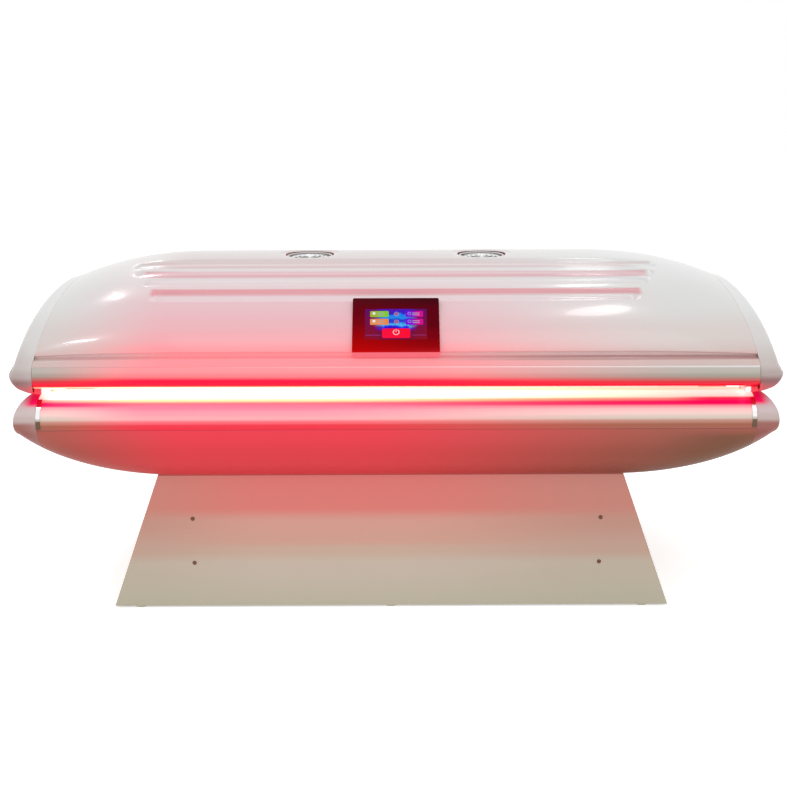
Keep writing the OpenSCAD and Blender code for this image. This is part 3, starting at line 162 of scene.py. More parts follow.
# %% Modifiers, cuts and mirrors
def apply_modifiers(obj, sharp=SHARP):
    depsgraph = bpy.context.evaluated_depsgraph_get()
    mesh = bpy.data.meshes.new_from_object(obj.evaluated_get(depsgraph))
    obj.modifiers.clear()
    obj.data = mesh
    mesh.shade_smooth()
    mesh.set_sharp_from_angle(angle=math.radians(sharp))


def use_tool(obj, tool, operation, sharp):
    modifier = obj.modifiers.new("tool", "BOOLEAN")
    modifier.operation = operation
    modifier.solver = "EXACT"
    modifier.object = tool
    apply_modifiers(obj, sharp)
    bpy.data.objects.remove(tool)


def cut(obj, tool, sharp=SHARP):
    use_tool(obj, tool, "DIFFERENCE", sharp)


def unite(obj, tool, sharp=SHARP):
    use_tool(obj, tool, "UNION", sharp)


def mirrored_x(obj, name):
    copy = obj.copy()
    copy.data = obj.data.copy()
    copy.name = name
    copy.data.name = name
    copy.data.transform(Matrix.Scale(-1, 4, (1, 0, 0)))
    copy.data.flip_normals()
    bpy.context.scene.collection.objects.link(copy)
    return copy


# %% [markdown]
# ### Turned parts, joined parts and rounded corners
# Round parts are a profile turned about an axis. The Screw modifier would turn one too, but these
# few lines leave a plain mesh at once. Points on the axis fall together, so doubles are merged
# before the faces are turned outwards. Parts that are one piece on the real bed, such as a guard of
# many wires, are joined into one mesh. Sharp corners look like a drawing, so a path may have each
# corner replaced by a short curve.


# %% Turning, joining, rounding
def lathe_object(name, profile, steps=48, sharp=SHARP):
    # Turns a profile of (radius, height) points about Z
    verts = []
    for k in range(steps):
        a = 2 * math.pi * k / steps
        verts += [(r * math.cos(a), r * math.sin(a), h) for r, h in profile]
    m = len(profile)
    faces = [
        (k * m + j, ((k + 1) % steps) * m + j, ((k + 1) % steps) * m + j + 1, k * m + j + 1)
        for k in range(steps)
        for j in range(m - 1)
    ]
    obj = mesh_object(name, verts, faces, sharp)
    b = bmesh.new()
    b.from_mesh(obj.data)
    bmesh.ops.remove_doubles(b, verts=b.verts, dist=1e-6)
    bmesh.ops.recalc_face_normals(b, faces=b.faces)
    b.to_mesh(obj.data)
    b.free()
    return obj


def joined(name, objects):
    # One mesh from several objects, each with its own place
    b = bmesh.new()
    for o in objects:
        mesh = o.data.copy()
        mesh.transform(o.matrix_world)
        b.from_mesh(mesh)
        bpy.data.meshes.remove(mesh)
    mesh = bpy.data.meshes.new(name)
    b.to_mesh(mesh)
    b.free()
    mesh.shade_smooth()
    mesh.set_sharp_from_angle(angle=math.radians(SHARP))
    for o in objects:
        bpy.data.objects.remove(o)
    obj = bpy.data.objects.new(name, mesh)
    bpy.context.scene.collection.objects.link(obj)
    return obj


def rounded_path(points, radii, steps=5):
    # A path whose corners are drawn as short curves
    path = [points[0]]
    for k in range(1, len(points) - 1):
        p = np.array(points[k])
        r = radii[k]
        if r == 0:
            path.append(points[k])
            continue
        to_last = np.array(points[k - 1]) - p
        to_next = np.array(points[k + 1]) - p
        a = p + to_last / np.linalg.norm(to_last) * r
        c = p + to_next / np.linalg.norm(to_next) * r
        for s in range(steps + 1):
            t = s / steps
            path.append(tuple((1 - t) ** 2 * a + 2 * t * (1 - t) * p + t * t * c))
    path.append(points[-1])
    return path


# %% [markdown]
# ### Dressing a part
# Each drawn part has to ride on a body, so that it moves with the canopy, a fan or the switch. It
# gets its finish and hides the solid parts that it takes the place of. One helper does all three
# things, because a part that misses one of them is left behind or is seen twice.


# %% Body and finish
def dress(obj, body, slot, material, *nodes):
    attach(obj, body)
    if nodes:
        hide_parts(*nodes)
    obj.data.materials.clear()
    obj.data.materials.append(material)
    return obj


# %% [markdown]
# ## Finishes
# Every finish is a node tree that reads the piece's own Object coordinates, so it stays in place
# when the canopy swings. A UV map would hold it as well, but each piece would have to be unwrapped
# first. A noise gives every finish a slightly uneven gloss and a fine grain, because a surface with
# one even value looks like a computer picture.


# %% Node helpers
def nodes_of(name):
    material = bpy.data.materials.new(name)
    material.use_nodes = True
    tree = material.node_tree
    return material, tree, tree.nodes["Principled BSDF"]


def link(tree, a, b):
    tree.links.new(a, b)


def math_node(tree, kind, a, b=None):
    node = tree.nodes.new("ShaderNodeMath")
    node.operation = kind
    for k, value in enumerate((a, b)):
        if value is None:
            continue
        if isinstance(value, (int, float)):
            node.inputs[k].default_value = value
        else:
            link(tree, value, node.inputs[k])
    return node.outputs[0]


def fade(tree, value, low, high):
    # 0 where value is at low, 1 where it is at high, soft in between
    node = tree.nodes.new("ShaderNodeMapRange")
    node.interpolation_type = "SMOOTHSTEP"
    link(tree, value, node.inputs["Value"])
    node.inputs["From Min"].default_value = low
    node.inputs["From Max"].default_value = high
    return node.outputs["Result"]


def place(tree):
    coordinate = tree.nodes.new("ShaderNodeTexCoord")
    split = tree.nodes.new("ShaderNodeSeparateXYZ")
    link(tree, coordinate.outputs["Object"], split.inputs[0])
    return coordinate.outputs["Object"], split.outputs


# %% [markdown]
# ### Colours that change with height
# The bed's glow changes mostly with the height over the floor. A colour ramp says which colour is
# where, and a Map Range before it turns metres into the ramp's own 0 to 1, so the stops can be
# written as real heights. A picture stretched over the part could do the same, but it would blur
# close up and would have to be made anew for each change.


# %% Mixing and ramps
def mix_color(tree, factor, a, b):
    # Inputs 6 and 7 and output 2 are a Mix node's sockets for colours
    node = tree.nodes.new("ShaderNodeMix")
    node.data_type = "RGBA"
    if isinstance(factor, (int, float)):
        node.inputs[0].default_value = factor
    else:
        link(tree, factor, node.inputs[0])
    for socket, value in ((node.inputs[6], a), (node.inputs[7], b)):
        if isinstance(value, tuple):
            socket.default_value = (*value, 1.0)
        else:
            link(tree, value, socket)
    return node.outputs[2]


def ramp(tree, value, stops):
    # Colours along a length in metres, from the lowest stop to the highest
    low, high = stops[0][0], stops[-1][0]
    to_unit = tree.nodes.new("ShaderNodeMapRange")
    link(tree, value, to_unit.inputs["Value"])
    to_unit.inputs["From Min"].default_value = low
    to_unit.inputs["From Max"].default_value = high
    node = tree.nodes.new("ShaderNodeValToRGB")
    node.color_ramp.interpolation = "EASE"
    elements = node.color_ramp.elements
    while len(elements) < len(stops):
        elements.new(0.5)
    for k, (at, color) in enumerate(stops):
        elements[k].position = (at - low) / (high - low)
        elements[k].color = (*color, 1.0)
    link(tree, to_unit.outputs["Result"], node.inputs["Fac"])
    return node.outputs["Color"]


# %% Uneven gloss and fine relief
GRAIN_RELIEF = 0.0005


def grain(tree, bsdf, vector, scale, rough, spread, bump):
    noise = tree.nodes.new("ShaderNodeTexNoise")
    noise.inputs["Scale"].default_value = scale
    noise.inputs["Detail"].default_value = 3.0
    link(tree, vector, noise.inputs["Vector"])
    change = tree.nodes.new("ShaderNodeMapRange")
    change.inputs["To Min"].default_value = rough - spread
    change.inputs["To Max"].default_value = rough + spread
    link(tree, noise.outputs[0], change.inputs["Value"])
    link(tree, change.outputs["Result"], bsdf.inputs["Roughness"])
    if bump > 0:
        relief = tree.nodes.new("ShaderNodeBump")
        relief.inputs["Strength"].default_value = bump
        relief.inputs["Distance"].default_value = GRAIN_RELIEF
        link(tree, noise.outputs[0], relief.inputs["Height"])
        link(tree, relief.outputs[0], bsdf.inputs["Normal"])
    return noise.outputs[0]


# %% A plain finish with blotches and grain
def plain(name, color, rough, metallic=0.0, scale=120.0, spread=0.05, bump=0.08, shade=0.12, coat=0.0):
    # shade is how much darker the blotches are
    material, tree, bsdf = nodes_of(name)
    vector, _ = place(tree)
    noise = grain(tree, bsdf, vector, scale, rough, spread, bump)
    dark = tuple(c * (1 - shade) for c in color)
    link(tree, mix_color(tree, noise, dark, color), bsdf.inputs["Base Color"])
    bsdf.inputs["Metallic"].default_value = metallic
    bsdf.inputs["Coat Weight"].default_value = coat
    return material


def metal(name, color, rough, scale=60.0, spread=0.06):
    return plain(name, color, rough, metallic=1.0, scale=scale, spread=spread, bump=0.04, shade=0.08)


# %% [markdown]
# ## The painted glow in the plastic
# The red glow and the shade on the moulded skins are painted into their colours. The painted glow
# is strongest by the gap between tub and canopy and in the middle of the bed, and it dies out
# towards both ends. A lamp inside the skins would need a translucent shader and long renders, so
# the painted colours follow the height instead: one ramp for the lit middle, one for the ends, mixed
# along the length.


# %% Bands of light and shade
def banded(tree, axes, color, shade_color, amount, rows, columns):
    # Paints a strip of light or shade into the colour: rows are its heights, columns its places
    # along the bed, each as four corners
    share = None
    for axis, (out_low, in_low, in_high, out_high) in ((2, rows), (0, columns)):
        rise = fade(tree, axes[axis], out_low, in_low)
        fall = math_node(tree, "SUBTRACT", 1.0, fade(tree, axes[axis], in_high, out_high))
        strip = math_node(tree, "MULTIPLY", rise, fall)
        share = strip if share is None else math_node(tree, "MULTIPLY", share, strip)
    return mix_color(tree, math_node(tree, "MULTIPLY", share, amount), color, shade_color)


# %% Lit plastic
COAT_ROUGHNESS = 0.06


def lit_plastic(
    name, middle, ends, left, right, glow, rough=0.2, coat=0.4, gloss=0.35, lamp=None, bands=(), tilt=0.0
):
    # middle and ends are ramps of painted glow and shade over the height; left and right say where the
    # middle fades out. glow is painted glow, an emission over the middle; lamp is painted light, an
    # emission on the edge by the gap; tilt is what the height gains for each metre to the right.
    material, tree, bsdf = nodes_of(name)
    vector, axes = place(tree)
    grain(tree, bsdf, vector, scale=90.0, rough=rough, spread=0.03, bump=0.03)
    lit = math_node(
        tree,
        "MULTIPLY",
        fade(tree, axes[0], *left),
        math_node(tree, "SUBTRACT", 1.0, fade(tree, axes[0], *right)),
    )
    height = math_node(tree, "ADD", axes[2], math_node(tree, "MULTIPLY", axes[0], tilt))
    color = mix_color(tree, lit, ramp(tree, height, ends), ramp(tree, height, middle))
    for band in bands:
        color = banded(tree, axes, color, *band)
    link(tree, color, bsdf.inputs["Base Color"])
    link(tree, color, bsdf.inputs["Emission Color"])
    strength = math_node(tree, "MULTIPLY", lit, glow)
    if lamp is not None:
        dark, bright, extra = lamp
        edge = math_node(tree, "MULTIPLY", fade(tree, height, dark, bright), extra)
        strength = math_node(tree, "ADD", strength, edge)
    link(tree, strength, bsdf.inputs["Emission Strength"])
    bsdf.inputs["Coat Weight"].default_value = coat
    bsdf.inputs["Coat Roughness"].default_value = COAT_ROUGHNESS
    bsdf.inputs["Specular IOR Level"].default_value = gloss
    return material


# %% [markdown]
# ### The canopy's finish, with painted glow and shade
# The shell is white, and the glow from the gap below it is painted into its colour: its ramp runs
# from a warm coral over the flange to a pale grey by the crown. The grooves catch shade on their
# upper sides and light on their lower ones. The finer mesh shows that in plain white, but the
# painted glow drowns it, so soft bands of painted shade and painted highlight bring it back on the
# lower three. Four more bands paint shade into the cove and the flange near the ends. Stronger
# lamps and fewer bands would look harsher than the real moulding.

# %% Palette and soft bands of painted shade and highlight
# WHITE is the plastic's own colour; the others are colours of painted shade and painted glow
WHITE = (0.61, 0.60, 0.595)
SHADE = (0.25, 0.075, 0.045)
PAINTED_GAP_LIGHT = (1.0, 1.0, 0.92)
AMBER = (0.98, 0.62, 0.28)
RED = (0.62, 0.02, 0.045)
LOWEST_GROOVE = (-0.63, -0.615, 0.615, 0.63)
SECOND_GROOVE = (-0.665, -0.65, 0.65, 0.665)
THIRD_GROOVE = (-0.69, -0.675, 0.675, 0.69)

# Painted shade and highlight bands: colour, amount, heights and places along the bed; the four
# corners of each are out, in, in, out
CANOPY_BANDS = (
    ((0.56, 0.17, 0.20), 0.72, (0.8235, 0.831, 0.8385, 0.841), LOWEST_GROOVE),
    ((0.62, 0.54, 0.56), 0.6, (0.8145, 0.818, 0.822, 0.8255), LOWEST_GROOVE),
    ((0.56, 0.26, 0.30), 0.70, (0.8595, 0.8615, 0.8670, 0.8695), SECOND_GROOVE),
    ((0.64, 0.62, 0.63), 0.4, (0.848, 0.851, 0.857, 0.8595), SECOND_GROOVE),
    ((0.52, 0.34, 0.36), 0.45, (0.876, 0.878, 0.881, 0.883), THIRD_GROOVE),
    ((0.66, 0.66, 0.67), 0.4, (0.8695, 0.871, 0.874, 0.876), THIRD_GROOVE),
    ((0.55, 0.36, 0.35), 0.8, (0.6980, 0.6992, 0.7065, 0.709), (-0.1, 0.5, 1.0, 1.1)),
    ((0.58, 0.37, 0.36), 0.7, (0.6980, 0.6992, 0.7065, 0.709), (-1.1, -1.0, -0.8, -0.5)),
    ((0.37, 0.20, 0.19), 0.9, (0.6880, 0.6905, 0.6978, 0.6990), (-0.1, 0.5, 1.0, 1.1)),
    ((0.50, 0.28, 0.27), 0.5, (0.6925, 0.6940, 0.6978, 0.6990), (-1.1, -1.0, -0.7, -0.5)),
)
print("soft bands on the canopy:", len(CANOPY_BANDS))

# %% Canopy shell
canopy_paint_glow_shade = lit_plastic(
    "canopy_plastic_painted_glow",
    # Painted glow: coral by the flange, fading to a pale grey by the crown
    [
        (0.694, (0.80, 0.22, 0.245)),
        (0.715, (0.79, 0.235, 0.26)),
        (0.74, (0.68, 0.295, 0.325)),
        (0.77, (0.63, 0.345, 0.375)),
        (0.81, (0.60, 0.385, 0.415)),
        (0.85, (0.58, 0.47, 0.48)),
        (0.872, (0.56, 0.49, 0.49)),
        (0.885, (0.54, 0.465, 0.46)),
        (0.897, (0.47, 0.42, 0.415)),
    ],
    # Towards the ends the glow is painted weaker and the colour greyer, darkest by the flange
    [
        (0.694, (0.52, 0.40, 0.38)),
        (0.74, (0.56, 0.50, 0.48)),
        (0.81, (0.57, 0.57, 0.56)),
        (0.897, (0.59, 0.60, 0.595)),
    ],
    left=(-0.88, -0.55),
    right=(-0.05, 0.75),
    glow=0.12,
    bands=CANOPY_BANDS,
)
print("finish:", canopy_paint_glow_shade.name)

# %% [markdown]
# ### End caps and tub
# The caps get little of the painted glow: their middle ramp only reaches the inner part of the left
# ones. The corner next to the gap gets painted light: a red band of painted glow and, on the
# canopy's foot, a white one. The tub hangs in the shade of its own rail, and that shade and the red
# light are painted into its colour: deep red in the middle and brown by the ends. One finish for all
# mouldings would be shorter, but it would have no place for these differences.

# %% Canopy caps, tub and tub caps
canopy_cap_paint_glow_shade = lit_plastic(
    "canopy_cap_plastic_painted_glow",
    # Painted glow at the foot; the ends ramp paints shade just above it
    [(0.606, RED), (0.66, WHITE)],
    [
        (0.606, (0.62, 0.03, 0.05)),
        (0.622, (0.40, 0.07, 0.08)),
        (0.638, (0.22, 0.09, 0.09)),
        (0.655, (0.36, 0.29, 0.28)),
        (0.68, (0.46, 0.41, 0.39)),
        (0.74, (0.55, 0.53, 0.52)),
        (0.80, (0.59, 0.60, 0.595)),
    ],
    left=(-0.93, -0.80),
    right=(-0.80, -0.70),
    glow=0.0,
    rough=0.3,
    bands=(
        # Painted glow: a red band on the corner by the gap, and a white band of painted light on the foot
        ((0.95, 0.01, 0.04), 1.0, (0.59, 0.60, 0.626, 0.636), (-0.905, -0.875, 0.875, 0.905)),
        (PAINTED_GAP_LIGHT, 1.0, (0.59, 0.60, 0.6225, 0.624), (-0.872, -0.868, 0.868, 0.872)),
    ),
)
tub_paint_red_light_shade = lit_plastic(
    "tub_plastic_painted_red_light",
    # Painted red light and shade: deep red in the middle, brown by the ends, darker towards the floor
    [(0.370, (0.42, 0.02, 0.025)), (0.44, (0.50, 0.025, 0.035)), (0.518, (0.60, 0.03, 0.05))],
    [(0.370, (0.10, 0.035, 0.015)), (0.44, (0.18, 0.055, 0.03)), (0.518, (0.28, 0.08, 0.055))],
    left=(-0.98, -0.50),
    right=(-0.15, 0.8),
    glow=0.15,
    rough=0.45,
    coat=0.0,
    gloss=0.2,
    # Painted shade over the right end of the tub
    bands=(((0.10, 0.045, 0.015), 0.65, (0.34, 0.35, 0.49, 0.52), (0.60, 0.85, 1.0, 1.1)),),
)
tub_cap_paint_glow_shade = lit_plastic(
    "tub_cap_plastic_painted_glow",
    # Painted shade at the foot and painted glow towards the top
    [(0.44, SHADE), (0.60, WHITE)],
    [
        (0.44, (0.17, 0.035, 0.025)),
        (0.50, (0.20, 0.045, 0.035)),
        (0.530, (0.26, 0.09, 0.075)),
        (0.546, (0.44, 0.35, 0.33)),
        (0.565, (0.53, 0.44, 0.44)),
        (0.585, (0.62, 0.40, 0.44)),
        (0.60, (0.60, 0.30, 0.34)),
    ],
    left=(-0.93, -0.80),
    right=(-0.80, -0.70),
    glow=0.0,
    rough=0.4,
    coat=0.0,
    # Painted glow: a magenta patch on the corner by the gap
    bands=(((0.95, 0.0, 0.13), 1.0, (0.572, 0.582, 0.61, 0.62), (-0.925, -0.900, 0.900, 0.925)),),
)
print("finishes:", canopy_cap_paint_glow_shade.name, tub_paint_red_light_shade.name, tub_cap_paint_glow_shade.name)

# %% [markdown]
# ### Rails
# The two rails lie along the gap, and the glow of the lamps is painted into their colour: from
# the gap outwards it goes through white, amber and a strong red to coral, all within some 20
# millimetres. An edge lit through by the lamps is painted light: the lamp value adds an emission of
# its own. Towards the ends the glow is painted weaker, and a thin painted highlight runs along the
# top of the canopy's rail.

# %% Rails
canopy_rail_paint_glow = lit_plastic(
    "canopy_rail_plastic_painted_glow",
    # Painted glow: white and amber by the gap, then a strong red, then coral
    [
        (0.6215, PAINTED_GAP_LIGHT),
        (0.6240, AMBER),
        (0.6268, (0.93, 0.06, 0.07)),
        (0.631, (0.93, 0.005, 0.03)),
        (0.642, (0.93, 0.003, 0.04)),
        (0.654, (0.80, 0.17, 0.19)),
        (0.665, (0.78, 0.23, 0.25)),
        (0.6735, (0.78, 0.24, 0.26)),
        # Painted highlight: a thin bright line along the rail's top edge
        (0.6748, (0.92, 0.40, 0.42)),
        (0.676, (0.92, 0.40, 0.42)),
    ],
    # Towards the ends the glow is painted weaker and shades to brown
    [
        (0.6195, PAINTED_GAP_LIGHT),
        (0.6225, AMBER),
        (0.625, (0.93, 0.06, 0.07)),
        (0.629, (0.85, 0.005, 0.03)),
        (0.640, (0.57, 0.03, 0.045)),
        (0.646, (0.40, 0.14, 0.12)),
        (0.654, (0.32, 0.29, 0.25)),
        (0.665, (0.41, 0.38, 0.34)),
        (0.6735, (0.42, 0.40, 0.37)),
        # Painted highlight on the top edge, paler by the ends
        (0.6748, (0.62, 0.58, 0.56)),
        (0.676, (0.62, 0.58, 0.56)),
    ],
    left=(-0.9, -0.6),
    right=(-0.1, 0.8),
    glow=0.2,
    coat=0.0,
    gloss=0.1,
    # Painted light: an emission on the edge by the gap
    lamp=(0.627, 0.621, 0.6),
    tilt=0.0033,
)
tub_rail_paint_glow = lit_plastic(
    "tub_rail_plastic_painted_glow",
    # Painted glow: red below, coral, a magenta stripe, then white by the gap
    [
        (0.518, (0.32, 0.02, 0.03)),
        (0.5205, (0.62, 0.02, 0.04)),
        (0.530, (0.62, 0.025, 0.045)),
        (0.538, (0.72, 0.10, 0.13)),
        (0.548, (0.78, 0.31, 0.33)),
        (0.560, (0.80, 0.26, 0.32)),
        (0.574, (0.81, 0.15, 0.25)),
        (0.580, (0.86, 0.11, 0.16)),
        (0.586, (0.95, 0.50, 0.28)),
        (0.592, PAINTED_GAP_LIGHT),
        (0.597, PAINTED_GAP_LIGHT),
        (0.598, (1.0, 0.66, 0.48)),
    ],
    # Towards the ends the glow is painted weaker and darker
    [
        (0.518, (0.14, 0.05, 0.035)),
        (0.5205, (0.32, 0.10, 0.07)),
        (0.529, (0.29, 0.10, 0.06)),
        (0.538, (0.42, 0.20, 0.15)),
        (0.548, (0.58, 0.50, 0.43)),
        (0.558, (0.79, 0.57, 0.54)),
        (0.566, (0.88, 0.52, 0.51)),
        (0.5715, (0.92, 0.34, 0.39)),
        (0.577, (0.94, 0.01, 0.14)),
        (0.581, (0.94, 0.01, 0.13)),
        (0.586, (0.95, 0.33, 0.32)),
        (0.5895, PAINTED_GAP_LIGHT),
        (0.597, PAINTED_GAP_LIGHT),
        (0.598, (1.0, 0.66, 0.48)),
    ],
    left=(-0.9, -0.6),
    right=(-0.25, 0.7),
    glow=0.2,
    coat=0.0,
    gloss=0.15,
    # Painted light: an emission on the edge by the gap
    lamp=(0.585, 0.597, 0.6),
    # Painted glow: a magenta patch near the right end
    bands=(((0.94, 0.0, 0.12), 0.9, (0.575, 0.579, 0.587, 0.591), (0.66, 0.78, 1.0, 1.1)),),
)
print("finishes:", canopy_rail_paint_glow.name, tub_rail_paint_glow.name)

# %% [markdown]
# ### Pedestal sheets
# The pedestal is folded sheet steel with a pale, matt powder coat. The red light on its upper half
# is painted into the colour, and so are the two soft edges of shadow that the tub throws over it.
# Lights could throw them too, but the bed is lit from all sides and a shadow can hardly be placed
# to the centimetre, so the ramp carries them. A dark band paints the shadow in the joint under the
# tub.

# %% Powder coat of the sheets, with painted red light and shadow
sheet_paint_light_shadow = lit_plastic(
    "pedestal_coat_painted_light_shadow",
    [
        # Painted light and shadow: beige below, red light on the upper half, with two soft shadow edges
        (0.0, (0.39, 0.365, 0.28)),
        (0.12, (0.43, 0.365, 0.30)),
        (0.16, (0.44, 0.31, 0.24)),
        (0.19, (0.48, 0.26, 0.205)),
        (0.24, (0.50, 0.25, 0.20)),
        (0.28, (0.55, 0.145, 0.125)),
        (0.37, (0.58, 0.145, 0.13)),
    ],
    [
        (0.0, (0.39, 0.365, 0.28)),
        (0.12, (0.41, 0.35, 0.275)),
        (0.16, (0.42, 0.275, 0.215)),
        (0.24, (0.42, 0.22, 0.17)),
        (0.28, (0.46, 0.18, 0.14)),
        (0.37, (0.48, 0.19, 0.15)),
    ],
    left=(-0.75, -0.3),
    right=(0.0, 0.6),
    glow=0.06,
    rough=0.5,
    coat=0.0,
    gloss=0.35,
    # Painted shadow: a dark red line where the tub overhangs the sheets
    bands=(((0.25, 0.01, 0.02), 0.8, (0.3655, 0.3675, 0.39, 0.40), (-1.1, -1.0, 1.0, 1.1)),),
)
print("finish:", sheet_paint_light_shadow.name)

# %% [markdown]
# ### Acrylic, plywood and lamps
# The acrylic lets most light through and shines a little by itself, as a sheet does that is lit
# from behind. Real glass settings would be truer, but the many bounces behind the sheet would make
# the render slow and grainy. The ribs are plywood, drawn by a wave of darker grain. A lamp is a
# colour with light of its own.


# %% Acrylic, plywood and lamps
def acrylic_sheet():
    material, tree, bsdf = nodes_of("acrylic_sheet")
    vector, _ = place(tree)
    grain(tree, bsdf, vector, scale=30.0, rough=0.12, spread=0.04, bump=0.0)
    bsdf.inputs["Base Color"].default_value = (0.9, 0.5, 0.5, 1.0)
    bsdf.inputs["Alpha"].default_value = 0.3
    # Painted glow: the emission stands in for the lamps' light shining through the sheet
    bsdf.inputs["Emission Color"].default_value = (1.0, 0.75, 0.70, 1.0)
    bsdf.inputs["Emission Strength"].default_value = 1.0
    return material


def plywood():
    material, tree, bsdf = nodes_of("plywood")
    vector, _ = place(tree)
    wave = tree.nodes.new("ShaderNodeTexWave")
    wave.inputs["Scale"].default_value = 14.0
    wave.inputs["Distortion"].default_value = 6.0
    wave.inputs["Detail"].default_value = 3.0
    link(tree, vector, wave.inputs["Vector"])
    grain(tree, bsdf, vector, scale=80.0, rough=0.6, spread=0.08, bump=0.2)
    color = mix_color(tree, wave.outputs[0], (0.5, 0.33, 0.18), (0.66, 0.48, 0.29))
    link(tree, color, bsdf.inputs["Base Color"])
    return material


def emitter(name, color, strength, rough=0.35):
    material, tree, bsdf = nodes_of(name)
    vector, _ = place(tree)
    grain(tree, bsdf, vector, scale=200.0, rough=rough, spread=0.03, bump=0.0)
    bsdf.inputs["Base Color"].default_value = (*[c * 0.6 for c in color], 1.0)
    bsdf.inputs["Emission Color"].default_value = (*color, 1.0)
    bsdf.inputs["Emission Strength"].default_value = strength
    return material


# %% [markdown]
# ### A finish for each kind of material
# Each solid part says what it is made of, in a slot such as rail or zinc_steel. One table gives a
# finish to each slot, so no part is forgotten and like parts look alike. The feet are the one
# exception: the photograph shows nothing dark under the sheets, so they get a pale finish.

# %% Finishes of the solids that stay as they are
MATERIALS = {
    "moulding": canopy_paint_glow_shade,
    "rail": canopy_rail_paint_glow,
    "acrylic": acrylic_sheet(),
    "aluminium": metal("aluminium_sheet", (0.8, 0.81, 0.82), 0.35),
    "light_board": plain("solder_mask", (0.60, 0.53, 0.52), 0.45),
    "plywood": plywood(),
    "sheet_metal": sheet_paint_light_shadow,
    "frame_steel": plain("black_powder_coat", (0.03, 0.03, 0.032), 0.5, scale=700.0),
    "zinc_steel": metal("zinc_plate", (0.66, 0.67, 0.68), 0.3, scale=25.0, spread=0.1),
    "casing": metal("casing_sheet", (0.7, 0.71, 0.72), 0.4),
    "dark_plastic": plain("dark_plastic", (0.035, 0.035, 0.04), 0.55, scale=500.0),
    "rotor": plain("rotor_plastic", (0.05, 0.05, 0.055), 0.45, scale=400.0),
    "switch_red": plain("switch_red", (0.62, 0.02, 0.015), 0.25, coat=0.3),
    "chrome": metal("chrome_plate", (0.88, 0.88, 0.89), 0.07, scale=40.0, spread=0.03),
    "well_grey": plain("well_plastic", (0.60, 0.56, 0.56), 0.35),
    "bezel": plain("bezel_gloss", (0.02, 0.003, 0.005), 0.12, bump=0.01, coat=0.8),
    "screen": plain("screen_gloss", (0.016, 0.002, 0.004), 0.06, bump=0.0, coat=1.0),
    "circuit": plain("circuit_mask", (0.02, 0.14, 0.05), 0.35, scale=60.0),
    "black_tube": plain("gloss_black", (0.015, 0.015, 0.016), 0.18, coat=0.5),
    "black_rubber": plain("black_rubber", (0.02, 0.02, 0.02), 0.75, scale=300.0, bump=0.2),
}
print("finishes in the table:", len(MATERIALS))

# %% Finishes put on the solids
slot_of = {s["node"]: s["material_slot"] for s in frame["record"]["subparts"]}
own_finish = {"levelling_feet": plain("pale_foot", (0.42, 0.39, 0.31), 0.6)}
for node, obj in frame["nodes"].items():
    obj.data.materials.clear()
    obj.data.materials.append(own_finish.get(node, MATERIALS[slot_of[node]]))
print("finished solids:", len(frame["nodes"]))

# %% [markdown]
# ## Canopy
# The canopy is one moulded skin, an arch that runs the length of the bed. Its crown line falls
# towards the ends, and its ends lean in a little. Such a form could be pushed and pulled by hand
# under a subdivision surface. But it follows a rule, so formulas give its points here: an angle
# around the arch, and a station along the bed.

# %% Sizes of the canopy
HALF_DEPTH = 0.440
WIDEST_Z = 0.620
RISE = 0.277
CROWN_Z = WIDEST_Z + RISE
HALF_LENGTH = 0.957
END_ROUND = 0.030
STRAIGHT = HALF_LENGTH - END_ROUND
SEAM_S = 0.974
SHELL_WALL = 0.0035
CAP_WALL = 0.004
FLANGE_Z = 0.676
print("canopy, mm:", round(2000 * HALF_LENGTH), "long,", round(2000 * HALF_DEPTH), "deep")

# %% Fall of the crown and lean of the ends
BEND_Z = 0.680
DROOP_START, DROOP_LEAST, DROOP_POWER = 0.577, 0.676, 2.28
LEAN = 0.0357
LEAN_Z = 0.640


def droop(s):
    # What is left of the height over the bend; s is 0 in the middle of the bed and 1 at its end
    over = max(0.0, (abs(s) - DROOP_START) / (1 - DROOP_START))
    return 1 - (1 - DROOP_LEAST) * over**DROOP_POWER


def bent(z, s):
    return BEND_Z + (z - BEND_Z) * droop(s) if z > BEND_Z else z


def lean(z):
    return LEAN * math.sqrt(max(0.0, (z - LEAN_Z) / (CROWN_Z - LEAN_Z)))


print("crown height, mm:", round(1000 * CROWN_Z), "in the middle,", round(1000 * bent(CROWN_Z, 1)), "at the ends")


# %% Arch and even steps
def arch_y(z):
    return HALF_DEPTH * math.sqrt(max(0.0, 1 - ((z - WIDEST_Z) / RISE) ** 2))


def arch(t, inset):
    # The point of the arch at t degrees from the crown, so far in from the outside
    a = math.radians(t)
    n = np.array([math.sin(a) / HALF_DEPTH, math.cos(a) / RISE])
    n /= np.linalg.norm(n)
    return (HALF_DEPTH * math.sin(a) - inset * n[0], WIDEST_Z + RISE * math.cos(a) - inset * n[1])


def steps(start, stop, size):
    # Even steps of about this size, with both ends
    return list(np.linspace(start, stop, max(2, round(abs(stop - start) / size) + 1)))


def both_ways(half):
    # Stations from the middle to the right, and the same to the left
    return [-v for v in reversed(half[1:])] + half


# %% [markdown]
# ### Air grooves
# Four long grooves are pressed into each side of the skin and stiffen it. Long rounded tools could
# cut them out, but a cut leaves a hard rim where the real skin flows. So the depth of a groove is a
# formula too, which fades out across it and at its ends, and the net of points is closer there.

# %% Grooves
# The angle of a groove from the crown and half its length
GROOVES = [(41.2, 0.626), (30.9, 0.6685), (22.9, 0.697), (15.1, 0.7115)]
GROOVE_HALF = 3.4
GROOVE_FLAT = 0.25
GROOVE_DEPTH = 0.008
GROOVE_END = 0.0225


